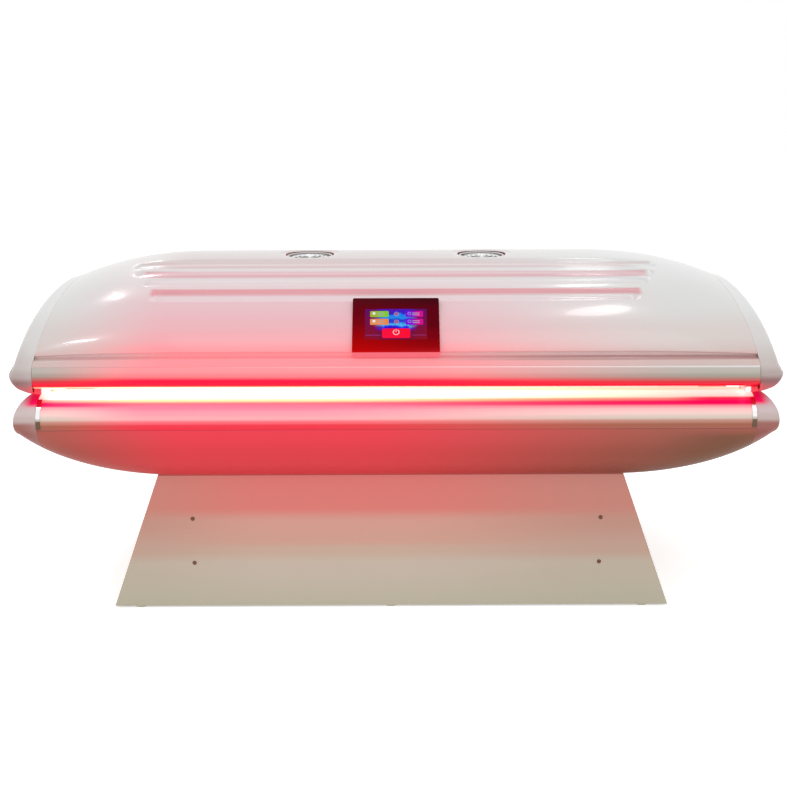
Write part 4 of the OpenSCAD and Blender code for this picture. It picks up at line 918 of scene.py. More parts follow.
def groove_depth(t, x):
    deepest = 0.0
    for centre, half_length in GROOVES:
        across = abs(abs(t) - centre) / GROOVE_HALF
        along = max(0.0, abs(x) - half_length + GROOVE_END) / GROOVE_END
        reach = math.hypot(across, along)
        if reach < 1:
            k = min(1.0, (1 - reach) / (1 - GROOVE_FLAT))
            deepest = max(deepest, GROOVE_DEPTH * k * k * (3 - 2 * k))
    return deepest


# %% Net of the skin
# Angles are in degrees from the crown, stations in metres from the middle
CROWN_END, CROWN_STEP = 11.7, 1.3
GROOVE_STEP, GROOVE_GAP = 0.45, 0.95
FLANK_START, FLANK_END, FLANK_STEP = 46.0, 69.0, 1.6
FINE_START, FINE_END = 0.56, 0.74
WIDE_STEP, FINE_STEP, END_STEP = 0.04, 0.005, 0.01


def shell_angles():
    # Angles from the crown outwards, close together over the grooves
    angles = steps(0, CROWN_END, CROWN_STEP)[:-1]
    for centre, _ in reversed(GROOVES):
        angles += steps(centre - GROOVE_HALF, centre + GROOVE_HALF, GROOVE_STEP)
        angles.append(centre + GROOVE_HALF + GROOVE_GAP)
    angles += steps(FLANK_START, FLANK_END, FLANK_STEP)
    return angles


def shell_stations():
    # Stations along the bed, close together where the grooves end
    half = steps(0, FINE_START, WIDE_STEP)[:-1] + steps(FINE_START, FINE_END, FINE_STEP)[:-1]
    half += steps(FINE_END, SEAM_S * STRAIGHT, END_STEP)
    return both_ways(half)


print("net of the canopy:", len(shell_stations()), "stations,", len(shell_angles()), "angles a side")

# %% [markdown]
# ### Section of the skin
# Over its lower flange the skin turns in to a soft cove, and the arch starts from there. The cove
# is a path with rounded corners, and above it the points follow the arch with its grooves. Both
# have the same count of points at every station, so that the net closes without gaps.

# %% Flange, cove and arch
FLANGE_MIDDLE_Z, FLANGE_TOP_Z = 0.685, 0.694
COVE_Y, COVE_LOW_Z, COVE_HIGH_Z = 0.4115, 0.6985, 0.7060
COVE_END = 71
COVE_CORNERS = [0, 0.003, 0.003, 0.0028, 0.0028, 0]
COVE_STEPS = 4


def shell_section(x):
    # Front half from the flange up to the crown, as points in Y and Z
    flange = (arch_y(FLANGE_Z), FLANGE_Z)
    flange_middle = (arch_y(FLANGE_MIDDLE_Z), FLANGE_MIDDLE_Z)
    flange_top = (arch_y(FLANGE_TOP_Z), FLANGE_TOP_Z)
    cove = [(COVE_Y, COVE_LOW_Z), (COVE_Y, COVE_HIGH_Z)]
    flank = [arch(COVE_END, 0), arch(FLANK_END, 0)]
    low = rounded_path([flange, flange_top] + cove + flank, COVE_CORNERS, COVE_STEPS)
    rows = [low[0], flange_middle] + low[1:-1]
    for t in reversed(shell_angles()):
        rows.append(arch(t, groove_depth(t, x)))
    return rows


print("points of half a section:", len(shell_section(0)))

# %% [markdown]
# ### Skin with a wall
# A net of points has no thickness, but the moulding has a wall of a few millimetres. It could be
# drawn as a second net inside the first. Solidify does the same in one step, and grows the wall
# inwards, so the outside keeps its size.

# %% Canopy skin
# The ends lean in, so a station lies about two per cent nearer to the middle than it says
GROOVE_SCALE = 1 - 0.02


def thickened(obj, wall):
    solid = obj.modifiers.new("wall", "SOLIDIFY")
    solid.thickness = wall
    solid.offset = -1
    apply_modifiers(obj)
    return obj


def build_canopy_shell():
    columns = []
    for station in shell_stations():
        s = station / STRAIGHT
        half = shell_section(station * GROOVE_SCALE)
        column = []
        for side, rows in ((-1, half[:-1]), (1, list(reversed(half)))):
            for y, z in rows:
                column.append((s * (STRAIGHT - lean(z)), side * y, bent(z, s)))
        columns.append(column)
    return thickened(grid_object("canopy_skin", columns), SHELL_WALL)


canopy_skin = build_canopy_shell()
print("faces of the skin:", len(canopy_skin.data.polygons))

# %% [markdown]
# ### Fan openings
# Two round openings in the crown let the fans blow out, each with a soft funnel round its edge. A
# turned tool with that funnel's section cuts both, which keeps them alike and perfectly round.

# %% Fan openings
FAN_X = 0.235
FAN_Y = -0.020
FUNNEL = [
    (0, 0.86), (0.062, 0.86), (0.062, 0.8885), (0.0632, 0.8915), (0.0665, 0.8935), (0.072, 0.8952),
    (0.080, 0.8965), (0.080, 0.93), (0, 0.93),
]


def well_cutter(x, y):
    obj = lathe_object("well_cutter", FUNNEL, 64)
    obj.data.transform(Matrix.Translation((x, y, 0)))
    return obj


for side in (-1, 1):
    cut(canopy_skin, well_cutter(side * FAN_X, FAN_Y))
dress(canopy_skin, "canopy", "moulding", canopy_paint_glow_shade, "canopy_shell")
print("faces with the openings:", len(canopy_skin.data.polygons))

# %% [markdown]
# ### Canopy end caps
# Each end of the canopy is closed by a moulded cap that rolls over in a large, soft rounding. A
# Bevel on the edge would give one radius all round, but the real rounding runs out towards the
# bottom. So the cap is a loft: straight sections first, and then sections that shrink towards a
# centre as they go round the corner.

# %% Sizes of the caps and of the curved acrylic
CANOPY_BOTTOM = 0.606
ROLL_CENTRE = 0.550
CANOPY_DECK = 0.622
BASIN_HALF = 0.343
BASIN_SAG = 0.129
ACRYLIC_T = 0.005
ACRYLIC_SEAT = 0.0033
ACRYLIC_R = (BASIN_HALF**2 + BASIN_SAG**2) / (2 * BASIN_SAG)
EDGE_COSINE = math.cos(math.asin(BASIN_HALF / ACRYLIC_R))
CANOPY_ARC_Z = CANOPY_DECK + ACRYLIC_SEAT + ACRYLIC_T * EDGE_COSINE - ACRYLIC_R * EDGE_COSINE
print("radius of the acrylic, mm:", round(1000 * ACRYLIC_R, 1))

# %% Sections of a canopy cap
CORNER_Y, CORNER_Z = 0.015, 0.014
SEAM_GAP, HOLLOW_REACH = 0.0005, 0.001
CAP_STEP = 2.5


def rolled(y, z):
    # Where a point of the outline ends up after the rounding
    edge_y = arch_y(BEND_Z)
    reach = math.hypot(edge_y, BEND_Z - ROLL_CENTRE)
    limit = ROLL_CENTRE + (BEND_Z - ROLL_CENTRE) * (1 - END_ROUND / reach)
    if z > BEND_Z:
        k = 1 - END_ROUND / math.hypot(y, z - ROLL_CENTRE)
        return y * k, ROLL_CENTRE + (z - ROLL_CENTRE) * k
    bottom = CANOPY_BOTTOM + END_ROUND
    return y - END_ROUND, bottom + (z - CANOPY_BOTTOM) * (limit - bottom) / (BEND_Z - CANOPY_BOTTOM)


def canopy_cap_half():
    corner = [
        (HALF_DEPTH - CORNER_Y * (1 - math.sin(a)), CANOPY_BOTTOM + CORNER_Z * (1 - math.cos(a)))
        for a in steps(0, math.pi / 2, math.pi / 16)[:-1]
    ]
    return corner + [arch(t, 0) for t in steps(90, 0, CAP_STEP)]


def canopy_cap_section(s, phi, wall):
    # phi goes from 0 to a quarter turn round the corner; a wall over 0 gives the hollow's section
    share = wall / END_ROUND
    turn = share + (1 - share) * (1 - math.cos(phi))
    half = []
    for y, base_z in canopy_cap_half():
        z = bent(base_z, s)
        to_y, to_z = rolled(y, z)
        k = (s - SEAM_S) / (1 - SEAM_S)
        lean_at = lean(max(base_z, FLANGE_Z)) * (1 - k) + lean(base_z) * k
        x = s * (STRAIGHT - lean_at)
        if s == SEAM_S:
            x += -HOLLOW_REACH if wall > 0 else SEAM_GAP
        half.append((x + (END_ROUND - wall) * math.sin(phi), y + (to_y - y) * turn, z + (to_z - z) * turn))
    front = [(x, -y, z) for x, y, z in half]
    return front + list(reversed(half[:-1]))


def canopy_cap_solid(name, wall):
    sections = [canopy_cap_section(s, 0, wall) for s in steps(SEAM_S, 1, (1 - SEAM_S) / 5)]
    sections += [canopy_cap_section(1, phi, wall) for phi in steps(0, math.pi / 2, math.pi / 20)[1:]]
    return loft_object(name, sections)


# %% [markdown]
# ### Tunnel, hollow and feet
# A cap is hollow, and the curved acrylic runs through it as through a tunnel. Its two feet reach
# under the ends of the rails. The tunnel and the hollow are cut with tools made by the same
# formulas as the cap itself, so the wall is equally thick everywhere. The feet are joined on with a
# union, which leaves no face inside.

# %% Tools for tunnel and feet
TUNNEL_HALF = BASIN_HALF + 0.002
TUNNEL_ENDS = (0.7, 1.0)
TOOL_REACH = 0.02


def tunnel_tool(radius, x0, x1):
    angle = math.asin(TUNNEL_HALF / radius)
    section = [(-TUNNEL_HALF, CANOPY_BOTTOM - TOOL_REACH)]
    for a in steps(-angle, angle, 2 * angle / 64):
        section.append((radius * math.sin(a), CANOPY_ARC_Z + radius * math.cos(a)))
    section.append((TUNNEL_HALF, CANOPY_BOTTOM - TOOL_REACH))
    return bar_object("tunnel_tool", section, [x0, x1])


def block_object(name, low, high):
    (x0, y0, z0), (x1, y1, z1) = low, high
    return bar_object(name, [(y0, z0), (y1, z0), (y1, z1), (y0, z1)], [x0, x1])


# %% Swept corner
SWEEP_X, SWEEP_TOP = 0.862, 0.690
SWEEP_RISE, SWEEP_IN = 0.026, 0.014


def sweep_up(cap):
    # The lower corner rises in a long curve towards the end
    for vertex in cap.data.vertices:
        along = max(0.0, (vertex.co.x - SWEEP_X) / (HALF_LENGTH - SWEEP_X))
        low = min(1.0, max(0.0, (SWEEP_TOP - vertex.co.z) / (SWEEP_TOP - CANOPY_BOTTOM)))
        vertex.co.z += SWEEP_RISE * along**2 * low**2
        vertex.co.x -= SWEEP_IN * along**2 * low**2
    cap.data.update()


# %% Canopy caps
FOOT_X, FOOT_LENGTH = 0.857, 0.06
FOOT_SIDE, FOOT_ROUND = 0.010, 0.004
FIT = 0.0003


def soft_foot(side):
    y0, y1 = sorted((side * TUNNEL_HALF, side * (HALF_DEPTH - FOOT_SIDE)))
    foot = block_object("foot", (FOOT_X, y0, CANOPY_BOTTOM), (FOOT_X + FOOT_LENGTH, y1, CANOPY_DECK - FIT))
    bevel = foot.modifiers.new("soft", "BEVEL")
    bevel.width = FOOT_ROUND
    bevel.segments = 3
    apply_modifiers(foot)
    return foot


def build_canopy_cap():
    radius = ACRYLIC_R + ACRYLIC_T + FIT
    cap = canopy_cap_solid("canopy_cap_right_skin", 0)
    for side in (-1, 1):
        unite(cap, soft_foot(side))
    hollow = canopy_cap_solid("cap_hollow", CAP_WALL)
    cut(hollow, tunnel_tool(radius + CAP_WALL, *TUNNEL_ENDS))
    cut(cap, hollow)
    cut(cap, tunnel_tool(radius, *TUNNEL_ENDS))
    sweep_up(cap)
    return cap


right_cap = build_canopy_cap()
left_cap = mirrored_x(right_cap, "canopy_cap_left_skin")
dress(right_cap, "canopy", "moulding", canopy_cap_paint_glow_shade, "canopy_end_cap_right")
dress(left_cap, "canopy", "moulding", canopy_cap_paint_glow_shade, "canopy_end_cap_left")
print("faces of a canopy cap:", len(right_cap.data.polygons))

# %% [markdown]
# ### Canopy rails
# An extruded profile runs along each lower edge of the canopy. It holds the flange of the skin,
# curls in below and ends in a lip under the acrylic. Such a profile is the same all along, so its
# section is made once and stretched between two stations, as the real one is pressed through a die.
# The rear rail has two slots that let the gas springs pass.

# %% Section of the canopy rails
PROUD = 0.0015
RAIL_FIT = 0.0002
RAIL_END = SEAM_S * (STRAIGHT - lean(FLANGE_Z + 0.005)) - RAIL_FIT
CURL_Y = HALF_DEPTH + PROUD - 0.0215
CURL_Z = WIDEST_Z + 0.025
CURL_OUTSIDE, CURL_INSIDE = (0.0215, 0.023), (0.0185, 0.020)
RAIL_SHARP = 30


def curl(start, stop, radii):
    return [
        (CURL_Y + radii[0] * math.cos(a), CURL_Z - radii[1] * math.sin(a))
        for a in np.radians(steps(start, stop, 6))
    ]


def canopy_rail_section():
    head = FLANGE_Z - RAIL_FIT
    edge = arch_y(head) + PROUD
    outer = [(arch_y(FLANGE_Z) - 0.0038, head), (edge - 0.0008, head), (edge, head - 0.001)]
    outer += [(arch_y(z) + PROUD, z) for z in steps(head - 0.006, head - 0.022, 0.005)]
    lip = [(0.338, CANOPY_DECK), (0.338, 0.6303), (0.341, 0.6287), (0.341, 0.625)]
    clip = [(arch_y(0.664) - 0.0015, 0.664), (0.4235, 0.670), (0.4235, 0.6808), (0.4256, 0.6808)]
    return outer + curl(0, 90, CURL_OUTSIDE) + lip + curl(90, 0, CURL_INSIDE) + clip


# %% Canopy rails
SPRING_SLOT_X, SPRING_SLOT_Y = (0.807, 0.833), (0.345, 0.405)


def build_rail(name, section, half, side):
    return bar_object(name, [(side * y, z) for y, z in section], [-half, half], RAIL_SHARP)


def cut_spring_slots(rail, low, high):
    for end in (-1, 1):
        x0, x1 = sorted(end * x for x in SPRING_SLOT_X)
        y0, y1 = SPRING_SLOT_Y
        cut(rail, block_object("slot", (x0, y0, low), (x1, y1, high)), RAIL_SHARP)


for name, side in (("canopy_front_rail", -1), ("canopy_rear_rail", 1)):
    rail = build_rail(name + "_profile", canopy_rail_section(), RAIL_END, side)
    if side > 0:
        cut_spring_slots(rail, 0.61, 0.628)
    dress(rail, "canopy", "rail", canopy_rail_paint_glow, name)
    print(name, "faces:", len(rail.data.polygons))

# %% [markdown]
# ## Tub
# The lower half is a shallow tub, moulded in one piece like the canopy. Its floor is flat, its
# sides swing up to the rails, and it rises towards the ends. It could be the canopy turned upside
# down, but its ends rise along another curve, so it has formulas of its own. They give the shell,
# its caps and its rails, so that all three meet.

# %% Sizes of the tub
FLOOR_HALF = 0.330
TUB_WIDEST = 0.532
PEDESTAL = 0.370
RAIL_SEAM = 0.518
TUB_SEAM = 0.887
RAIL_TOP = 0.598
CAP_TOP = 0.600
TUB_HALF = 0.937
TUB_ROUND = 0.008
TUB_WALL = 0.003
print("tub, mm:", round(2000 * (TUB_HALF + TUB_ROUND)), "long,", round(1000 * (CAP_TOP - PEDESTAL)), "high")

# %% Floor, sides and nose
FLOOR_START, FLOOR_RUN, FLOOR_POWER = 0.561, 0.394, 1.95
SIDE_BULGE = 0.002
NOSE_Y, NOSE_Z, NOSE_W = 0.358, 0.540, 0.084


def floor_rise(x):
    # 1 where the floor is at its lowest, less where it rises towards the end
    if abs(x) <= FLOOR_START:
        return 1.0
    return (1 - ((abs(x) - FLOOR_START) / FLOOR_RUN) ** FLOOR_POWER) ** (1 / FLOOR_POWER)


def tub_low(a, x, inset):
    # The swung side between floor and seam
    return (
        FLOOR_HALF + (HALF_DEPTH + SIDE_BULGE - FLOOR_HALF - inset) * math.cos(a),
        TUB_WIDEST - (TUB_WIDEST - PEDESTAL - inset) * math.sin(a) * floor_rise(x),
    )


def nose(a, top, inset):
    # The rounded nose over the seam
    return NOSE_Y + (NOSE_W - inset) * math.cos(a), NOSE_Z + (top - NOSE_Z - inset) * math.sin(a)


# %% Tub shell
VENT_X, VENT_R = 0.3, 0.057
TUB_STEP, SIDE_POINTS, FLOOR_STEP = 0.08, 34, 0.06


def tub_net():
    half = steps(0, FLOOR_START, TUB_STEP)[:-1] + steps(FLOOR_START, TUB_SEAM, 0.011)
    columns = []
    for x in both_ways(half):
        a0 = math.asin((TUB_WIDEST - RAIL_SEAM) / ((TUB_WIDEST - PEDESTAL) * floor_rise(x)))
        side = [tub_low(a, x, 0) for a in np.linspace(a0, math.pi / 2, SIDE_POINTS)]
        floor = [(y, side[-1][1]) for y in steps(-FLOOR_HALF, FLOOR_HALF, FLOOR_STEP)[1:-1]]
        column = [(x, -y, z) for y, z in side] + [(x, y, z) for y, z in floor]
        column += [(x, y, z) for y, z in reversed(side)]
        columns.append(list(reversed(column)))
    return columns


def build_tub_shell():
    obj = thickened(grid_object("tub_skin", tub_net()), TUB_WALL)
    for side in (-1, 1):
        tool = lathe_object("vent_cutter", [(0, 0.36), (VENT_R, 0.36), (VENT_R, 0.38), (0, 0.38)], 48)
        tool.data.transform(Matrix.Translation((side * VENT_X, 0, 0)))
        cut(obj, tool)
    return obj


tub_skin = build_tub_shell()
dress(tub_skin, "bed", "moulding", tub_paint_red_light_shade, "tub_shell")
print("faces of the tub:", len(tub_skin.data.polygons))

# %% [markdown]
# ### Tub end caps
# The tub's caps are hollow lofts like the canopy's, with a smaller rounding. Where a user's head and
# feet lie, a cap is open: a basin is cut into it that follows the curved acrylic and runs out
# towards the end. Its tool is a loft too, of arcs that grow flatter from section to section.

# %% Sections of a tub cap
TUB_LEAN = 0.040
CAP_MIDDLE, CAP_MIDDLE_RISE = 0.545, 0.060
TUB_SEAM_GAP = 0.0002


def tub_lean(z):
    if z <= TUB_WIDEST:
        return 0.0
    return TUB_LEAN * (1 - math.sqrt(max(0.0, 1 - ((z - TUB_WIDEST) / (CAP_TOP - TUB_WIDEST)) ** 2)))


def tub_cap_section(u, phi, wall):
    # u goes from 0 at the seam to 1 at the end, phi from 0 to a quarter turn round the corner
    x = TUB_SEAM + u * (TUB_HALF - TUB_SEAM)
    share = wall / TUB_ROUND
    turn = share + (1 - share) * (1 - math.cos(phi))
    rows = [tub_low(math.radians(a), x, 0) for a in steps(90, 0, 4)]
    rows += [nose(math.radians(a), CAP_TOP, 0) for a in steps(0, 90, 4)]
    half = []
    for y, z in rows:
        to_y = y * (1 - TUB_ROUND / HALF_DEPTH)
        to_z = CAP_MIDDLE + (z - CAP_MIDDLE) * (1 - TUB_ROUND / CAP_MIDDLE_RISE)
        px = TUB_SEAM + u * (TUB_HALF - tub_lean(z) - TUB_SEAM)
        if u == 0:
            px += -HOLLOW_REACH if wall > 0 else TUB_SEAM_GAP
        half.append((px + (TUB_ROUND - wall) * math.sin(phi), y + (to_y - y) * turn, z + (to_z - z) * turn))
    return [(x, -y, z) for x, y, z in half] + list(reversed(half))


def tub_cap_solid(name, wall):
    sections = [tub_cap_section(u, 0, wall) for u in steps(0, 1, 0.125)]
    sections += [tub_cap_section(1, phi, wall) for phi in steps(0, math.pi / 2, math.pi / 12)[1:]]
    obj = loft_object(name, sections)
    outward(obj)
    return obj


# %% Basin
SILL_Z = 0.500
BASIN_EDGE = RAIL_TOP - TUB_WALL - FIT
TUB_BOTTOM = BASIN_EDGE - BASIN_SAG
TUB_END = TUB_HALF + TUB_ROUND
BASIN_REACH = 0.01


def basin_section(x, bottom, grow):
    sag = BASIN_EDGE - bottom
    r = (BASIN_HALF**2 + sag**2) / (2 * sag)
    edge = math.asin(BASIN_HALF / r)
    angles = steps(edge / 30, edge, edge / 30)
    low = [((r + grow) * math.sin(a), bottom + r - (r + grow) * math.cos(a)) for a in angles]
    high = CAP_TOP + TOOL_REACH
    front = [(x, -y, z) for y, z in low] + [(x, -BASIN_HALF - grow, high)]
    rear = [(x, BASIN_HALF + grow, high)] + [(x, y, z) for y, z in reversed(low)]
    return front + rear


def basin_tool(grow):
    rise = (SILL_Z - TUB_BOTTOM) / (TUB_END - TUB_SEAM)
    start = (TUB_SEAM - BASIN_REACH, TUB_BOTTOM - BASIN_REACH * rise)
    end = (TUB_END + BASIN_REACH, SILL_Z + BASIN_REACH * rise)
    sections = []
    for k in steps(0, 1, 0.1):
        x = start[0] + k * (end[0] - start[0])
        bottom = start[1] + k * (end[1] - start[1])
        sections.append(basin_section(x, bottom, grow))
    tool = loft_object("basin_tool", sections)
    outward(tool)
    return tool


# %% Tub caps
def build_tub_cap():
    cap = tub_cap_solid("tub_cap_right_skin", 0)
    hollow = tub_cap_solid("tub_cap_hollow", CAP_WALL)
    cut(hollow, basin_tool(CAP_WALL))
    cut(cap, hollow)
    cut(cap, basin_tool(0))
    return cap


right_tub_cap = build_tub_cap()
left_tub_cap = mirrored_x(right_tub_cap, "tub_cap_left_skin")
dress(right_tub_cap, "bed", "moulding", tub_cap_paint_glow_shade, "tub_end_cap_right")
dress(left_tub_cap, "bed", "moulding", tub_cap_paint_glow_shade, "tub_end_cap_left")
print("faces of a tub cap:", len(right_tub_cap.data.polygons))

# %% [markdown]
# ### Tub rails
# The tub's rails have a wide rounded nose that an arm can rest on, and a flat deck inside it. They
# are extruded profiles as well, made in the same way as the canopy's, and the rear one has the
# same two slots for the gas springs.

# %% Tub rails
LIP_Y = 0.338
NOSE_STEP = math.radians(3)


def tub_rail_section():
    a0 = math.asin((TUB_WIDEST - RAIL_SEAM) / (TUB_WIDEST - PEDESTAL))
    low = [tub_low(a0 * (1 - k / 4), 0, 0) for k in range(4)]
    angles = steps(0, math.pi / 2, NOSE_STEP)
    outer = low + [nose(a, RAIL_TOP, 0) for a in angles]
    inner = [(y - TUB_WALL, z) for y, z in low] + [nose(a, RAIL_TOP, TUB_WALL) for a in angles]
    return outer + [(LIP_Y, RAIL_TOP), (LIP_Y, RAIL_TOP - TUB_WALL)] + list(reversed(inner))


for name, side in (("tub_front_rail", -1), ("tub_rear_rail", 1)):
    rail = build_rail(name + "_profile", tub_rail_section(), TUB_SEAM - RAIL_FIT, side)
    if side > 0:
        cut_spring_slots(rail, 0.568, 0.605)
    dress(rail, "bed", "rail", tub_rail_paint_glow, name)
    print(name, "faces:", len(rail.data.polygons))

# %% [markdown]
# ### Joint strips
# A narrow polished strip covers each joint between a rail and a cap. It lies on the nose like a
# sleeve, so its section is the rail's own outline, moved out by a little more than a millimetre. A
# true mirror would show the white room here, where the real strip shows the glow, so its colour is
# a painted reflection of the glow that changes with the height.

# %% Strips
STRIP_STATIONS = (0.876, 0.8865)
STRIP_OUT, STRIP_IN = -0.0013, -0.00015
STRIP_TOP = 56


def build_strips():
    outer = [nose(a, RAIL_TOP, STRIP_OUT) for a in np.radians(steps(0, STRIP_TOP, 2.5))]
    inner = [nose(a, RAIL_TOP, STRIP_IN) for a in np.radians(steps(STRIP_TOP, 0, 2.5))]
    section = [(0.4433, RAIL_SEAM + 0.004)] + outer + inner + [(0.44215, RAIL_SEAM + 0.004)]
    pieces = []
    for end in (-1, 1):
        for side in (-1, 1):
            stations = sorted(end * x for x in STRIP_STATIONS)
            pieces.append(bar_object("strip", [(side * y, z) for y, z in section], stations, RAIL_SHARP))
    return joined("joint_strips", pieces)


# %% Polish of the strips
def strip_metal():
    material, tree, bsdf = nodes_of("strip_chrome")
    vector, axes = place(tree)
    grain(tree, bsdf, vector, scale=60.0, rough=0.12, spread=0.04, bump=0.02)
    # Painted reflection: dark below, white in the middle and the pink glow at the top
    mirrored = [
        (0.522, (0.10, 0.07, 0.045)), (0.541, (0.12, 0.08, 0.055)), (0.546, (0.55, 0.50, 0.48)),
        (0.551, (0.95, 0.95, 0.95)), (0.571, (0.95, 0.90, 0.91)), (0.580, (0.85, 0.30, 0.42)),
        (0.60, (0.90, 0.25, 0.36)),
    ]
    link(tree, ramp(tree, axes[2], mirrored), bsdf.inputs["Base Color"])
    bsdf.inputs["Metallic"].default_value = 1.0
    return material


strips = build_strips()
dress(strips, "bed", "chrome", strip_metal(), "rail_end_strips")
print("faces of the strips:", len(strips.data.polygons))

# %% [markdown]
# ## Control panel
# A flat touch panel leans on the front of the canopy. It is a housing with a dark glass, and the
# display lights up behind the glass. The housing is drawn as one rounded outline that steps
# inwards and downwards, because that gives its thin raised lip and the seat of the glass in one
# go. A plain block would lose both.

# %% Panel outline and place
PANEL_HALF_W, PANEL_HALF_H, PANEL_CORNER = 0.1075, 0.0795, 0.004
PANEL_TILT = math.radians(45.5)
PANEL_PLACE = Matrix.Translation((0, -0.3780, 0.7695)) @ Matrix.Rotation(PANEL_TILT, 4, "X")
# Points closer together than this become one
SHORTEST = 0.00003


def rounded_outline(half_w, half_h, radius, steps_of_corner=6, middle=(0, 0)):
    outline = []
    for quarter, (side_x, side_y) in enumerate(((1, 1), (-1, 1), (-1, -1), (1, -1))):
        for k in range(steps_of_corner + 1):
            a = math.pi / 2 * (quarter + k / steps_of_corner)
            x = side_x * (half_w - radius) + radius * math.cos(a)
            y = side_y * (half_h - radius) + radius * math.sin(a)
            point = (middle[0] + x, middle[1] + y)
            if all(math.dist(point, end) > SHORTEST for end in outline[:1] + outline[-1:]):
                outline.append(point)
    return outline


print("panel, mm:", round(2000 * PANEL_HALF_W), "x", round(2000 * PANEL_HALF_H))


# %% Housing
LEAST_CORNER = 0.0006
HOUSING_STEPS = [
    (0, -0.026), (0, -0.0012), (0.0004, -0.0004), (0.0012, 0), (0.0021, 0),
    (0.0025, -0.0004), (0.0025, -0.0022), (0.008, -0.0022), (0.008, -0.023),
]


def panel_loft(name, steps_inward):
    # Each step is how far in from the edge and how high over the panel's face
    sections = []
    for inset, z in steps_inward:
        corner = max(LEAST_CORNER, PANEL_CORNER - inset)
        outline = rounded_outline(PANEL_HALF_W - inset, PANEL_HALF_H - inset, corner)
        sections.append([(x, y, z) for x, y in outline])
    obj = loft_object(name, sections)
    outward(obj)
    obj.data.transform(PANEL_PLACE)
    return obj


housing = panel_loft("panel_housing_profile", HOUSING_STEPS)
print("faces of the housing:", len(housing.data.polygons))

# %% [markdown]
# ### Glass
# The glass mirrors the red glow from below it, deep red at its foot and nearly black at its top. A
# true mirror would have to see the lamps, and here they are hidden behind the skins. So two ramps
# paint what the real glass mirrors, one along its left edge and one along its right.

# %% A surface that gives off its colour
def shine(tree, bsdf, color, strength, gloss, base=(0.0, 0.0, 0.0)):
    bsdf.inputs["Base Color"].default_value = (*base, 1.0)
    link(tree, color, bsdf.inputs["Emission Color"])
    bsdf.inputs["Emission Strength"].default_value = strength
    bsdf.inputs["Specular IOR Level"].default_value = gloss


# %% Gloss black with a painted reflection of the glow
GLASS_LEFT = [
    (0.713, (0.55, 0.001, 0.002)), (0.720, (0.47, 0.001, 0.002)), (0.735, (0.38, 0.001, 0.002)),
    (0.747, (0.31, 0.001, 0.003)), (0.760, (0.25, 0.001, 0.004)), (0.773, (0.18, 0.001, 0.005)),
    (0.798, (0.13, 0.001, 0.006)), (0.826, (0.08, 0.004, 0.009)),
]
GLASS_RIGHT = [
    (0.713, (0.42, 0.004, 0.008)), (0.726, (0.28, 0.001, 0.003)), (0.747, (0.18, 0.001, 0.005)),
    (0.773, (0.11, 0.001, 0.006)), (0.798, (0.105, 0.001, 0.007)), (0.826, (0.05, 0.003, 0.006)),
]


def glowing_black(name, foot):
    # A gloss black with a painted reflection of the glow; foot is the painted colour of what faces the lamps
    material, tree, bsdf = nodes_of(name)
    vector, axes = place(tree)
    grain(tree, bsdf, vector, scale=40.0, rough=0.08, spread=0.02, bump=0.0)
    under = [(0.690, foot), (0.7105, foot)]
    across = fade(tree, axes[0], -PANEL_HALF_W, PANEL_HALF_W)
    left, right = (ramp(tree, axes[2], under + stops) for stops in (GLASS_LEFT, GLASS_RIGHT))
    color = mix_color(tree, across, left, right)
    shine(tree, bsdf, color, 1.0, 0.01, base=(0.002, 0.0, 0.0))
    return material


# %% Glass and housing
GLASS_STEPS = [(0.0031, -0.0022), (0.0028, -0.0019), (0.0028, -0.0005), (0.0031, -0.0002)]
glass = panel_loft("panel_glass_plate", GLASS_STEPS)
glass_paint_reflection = glowing_black("panel_glass", (0.55, 0.001, 0.002))
dress(glass, "canopy", "screen", glass_paint_reflection, "panel_screen")
# The housing gets the same painted reflection, with a pink painted glow at its foot
dress(housing, "canopy", "bezel", glowing_black("housing_gloss_painted_reflection", (0.95, 0.16, 0.20)), "panel_housing")
print("faces of the glass:", len(glass.data.polygons))

# %% [markdown]
# ### Display
# The display shows plain shapes only: a wave of colour, rounded buttons, two dots and a wide red
# button. A picture on the glass could show them, but its edges would blur close up. So each shape
# is a very thin plate over the glass, and all plates of one colour are one piece. The colours shine
# by themselves, as on a real display, so they have an Emission colour.

# %% Plates
MM = 0.001
LAYER, PLATE_DEPTH, RING_DEPTH = 0.0001, 0.00015, 0.00005
RING_PIECES = 28
# A hair less than half the height, so that no straight side is left without length
ROUND_END = 0.999


def plate(name, outline, low, high):
    ring = [[(x, y, z) for x, y in outline] for z in (low, high)]
    obj = loft_object(name, ring)
    outward(obj)
    return obj


def pill(name, u, v, width, height, layer, radius=None):
    # A plate with rounded corners, in millimetres from the middle of the glass
    half_w, half_h = width / 2 * MM, height / 2 * MM
    corner = half_h * ROUND_END if radius is None else radius * MM
    outline = rounded_outline(half_w, half_h, corner, 6, (u * MM, v * MM))
    return plate(name, outline, layer * LAYER - PLATE_DEPTH, layer * LAYER)


def ring_plate(name, u, v, outer, inner, layer, gap=0.0, middle_angle=90.0):
    # A ring, or with a gap an open one, as four-sided pieces
    first = math.radians(middle_angle + gap / 2)
    last = math.radians(middle_angle + 360 - gap / 2)
    verts, faces = [], []
    for k in range(RING_PIECES + 1):
        a = first + (last - first) * k / RING_PIECES
        for r in (inner, outer):
            for z in (layer * LAYER - RING_DEPTH, layer * LAYER):
                verts.append(((u + r * math.cos(a)) * MM, (v + r * math.sin(a)) * MM, z))
    for k in range(RING_PIECES):
        b, c = 4 * k, 4 * k + 4
        faces += [(b, b + 1, c + 1, c), (b + 2, c + 2, c + 3, b + 3)]
        faces += [(b + 1, b + 3, c + 3, c + 1), (b, c, c + 2, b + 2)]
    end = 4 * RING_PIECES
    faces += [(0, 2, 3, 1), (end, end + 1, end + 3, end + 2)]
    obj = mesh_object(name, verts, faces)
    outward(obj)
    return obj


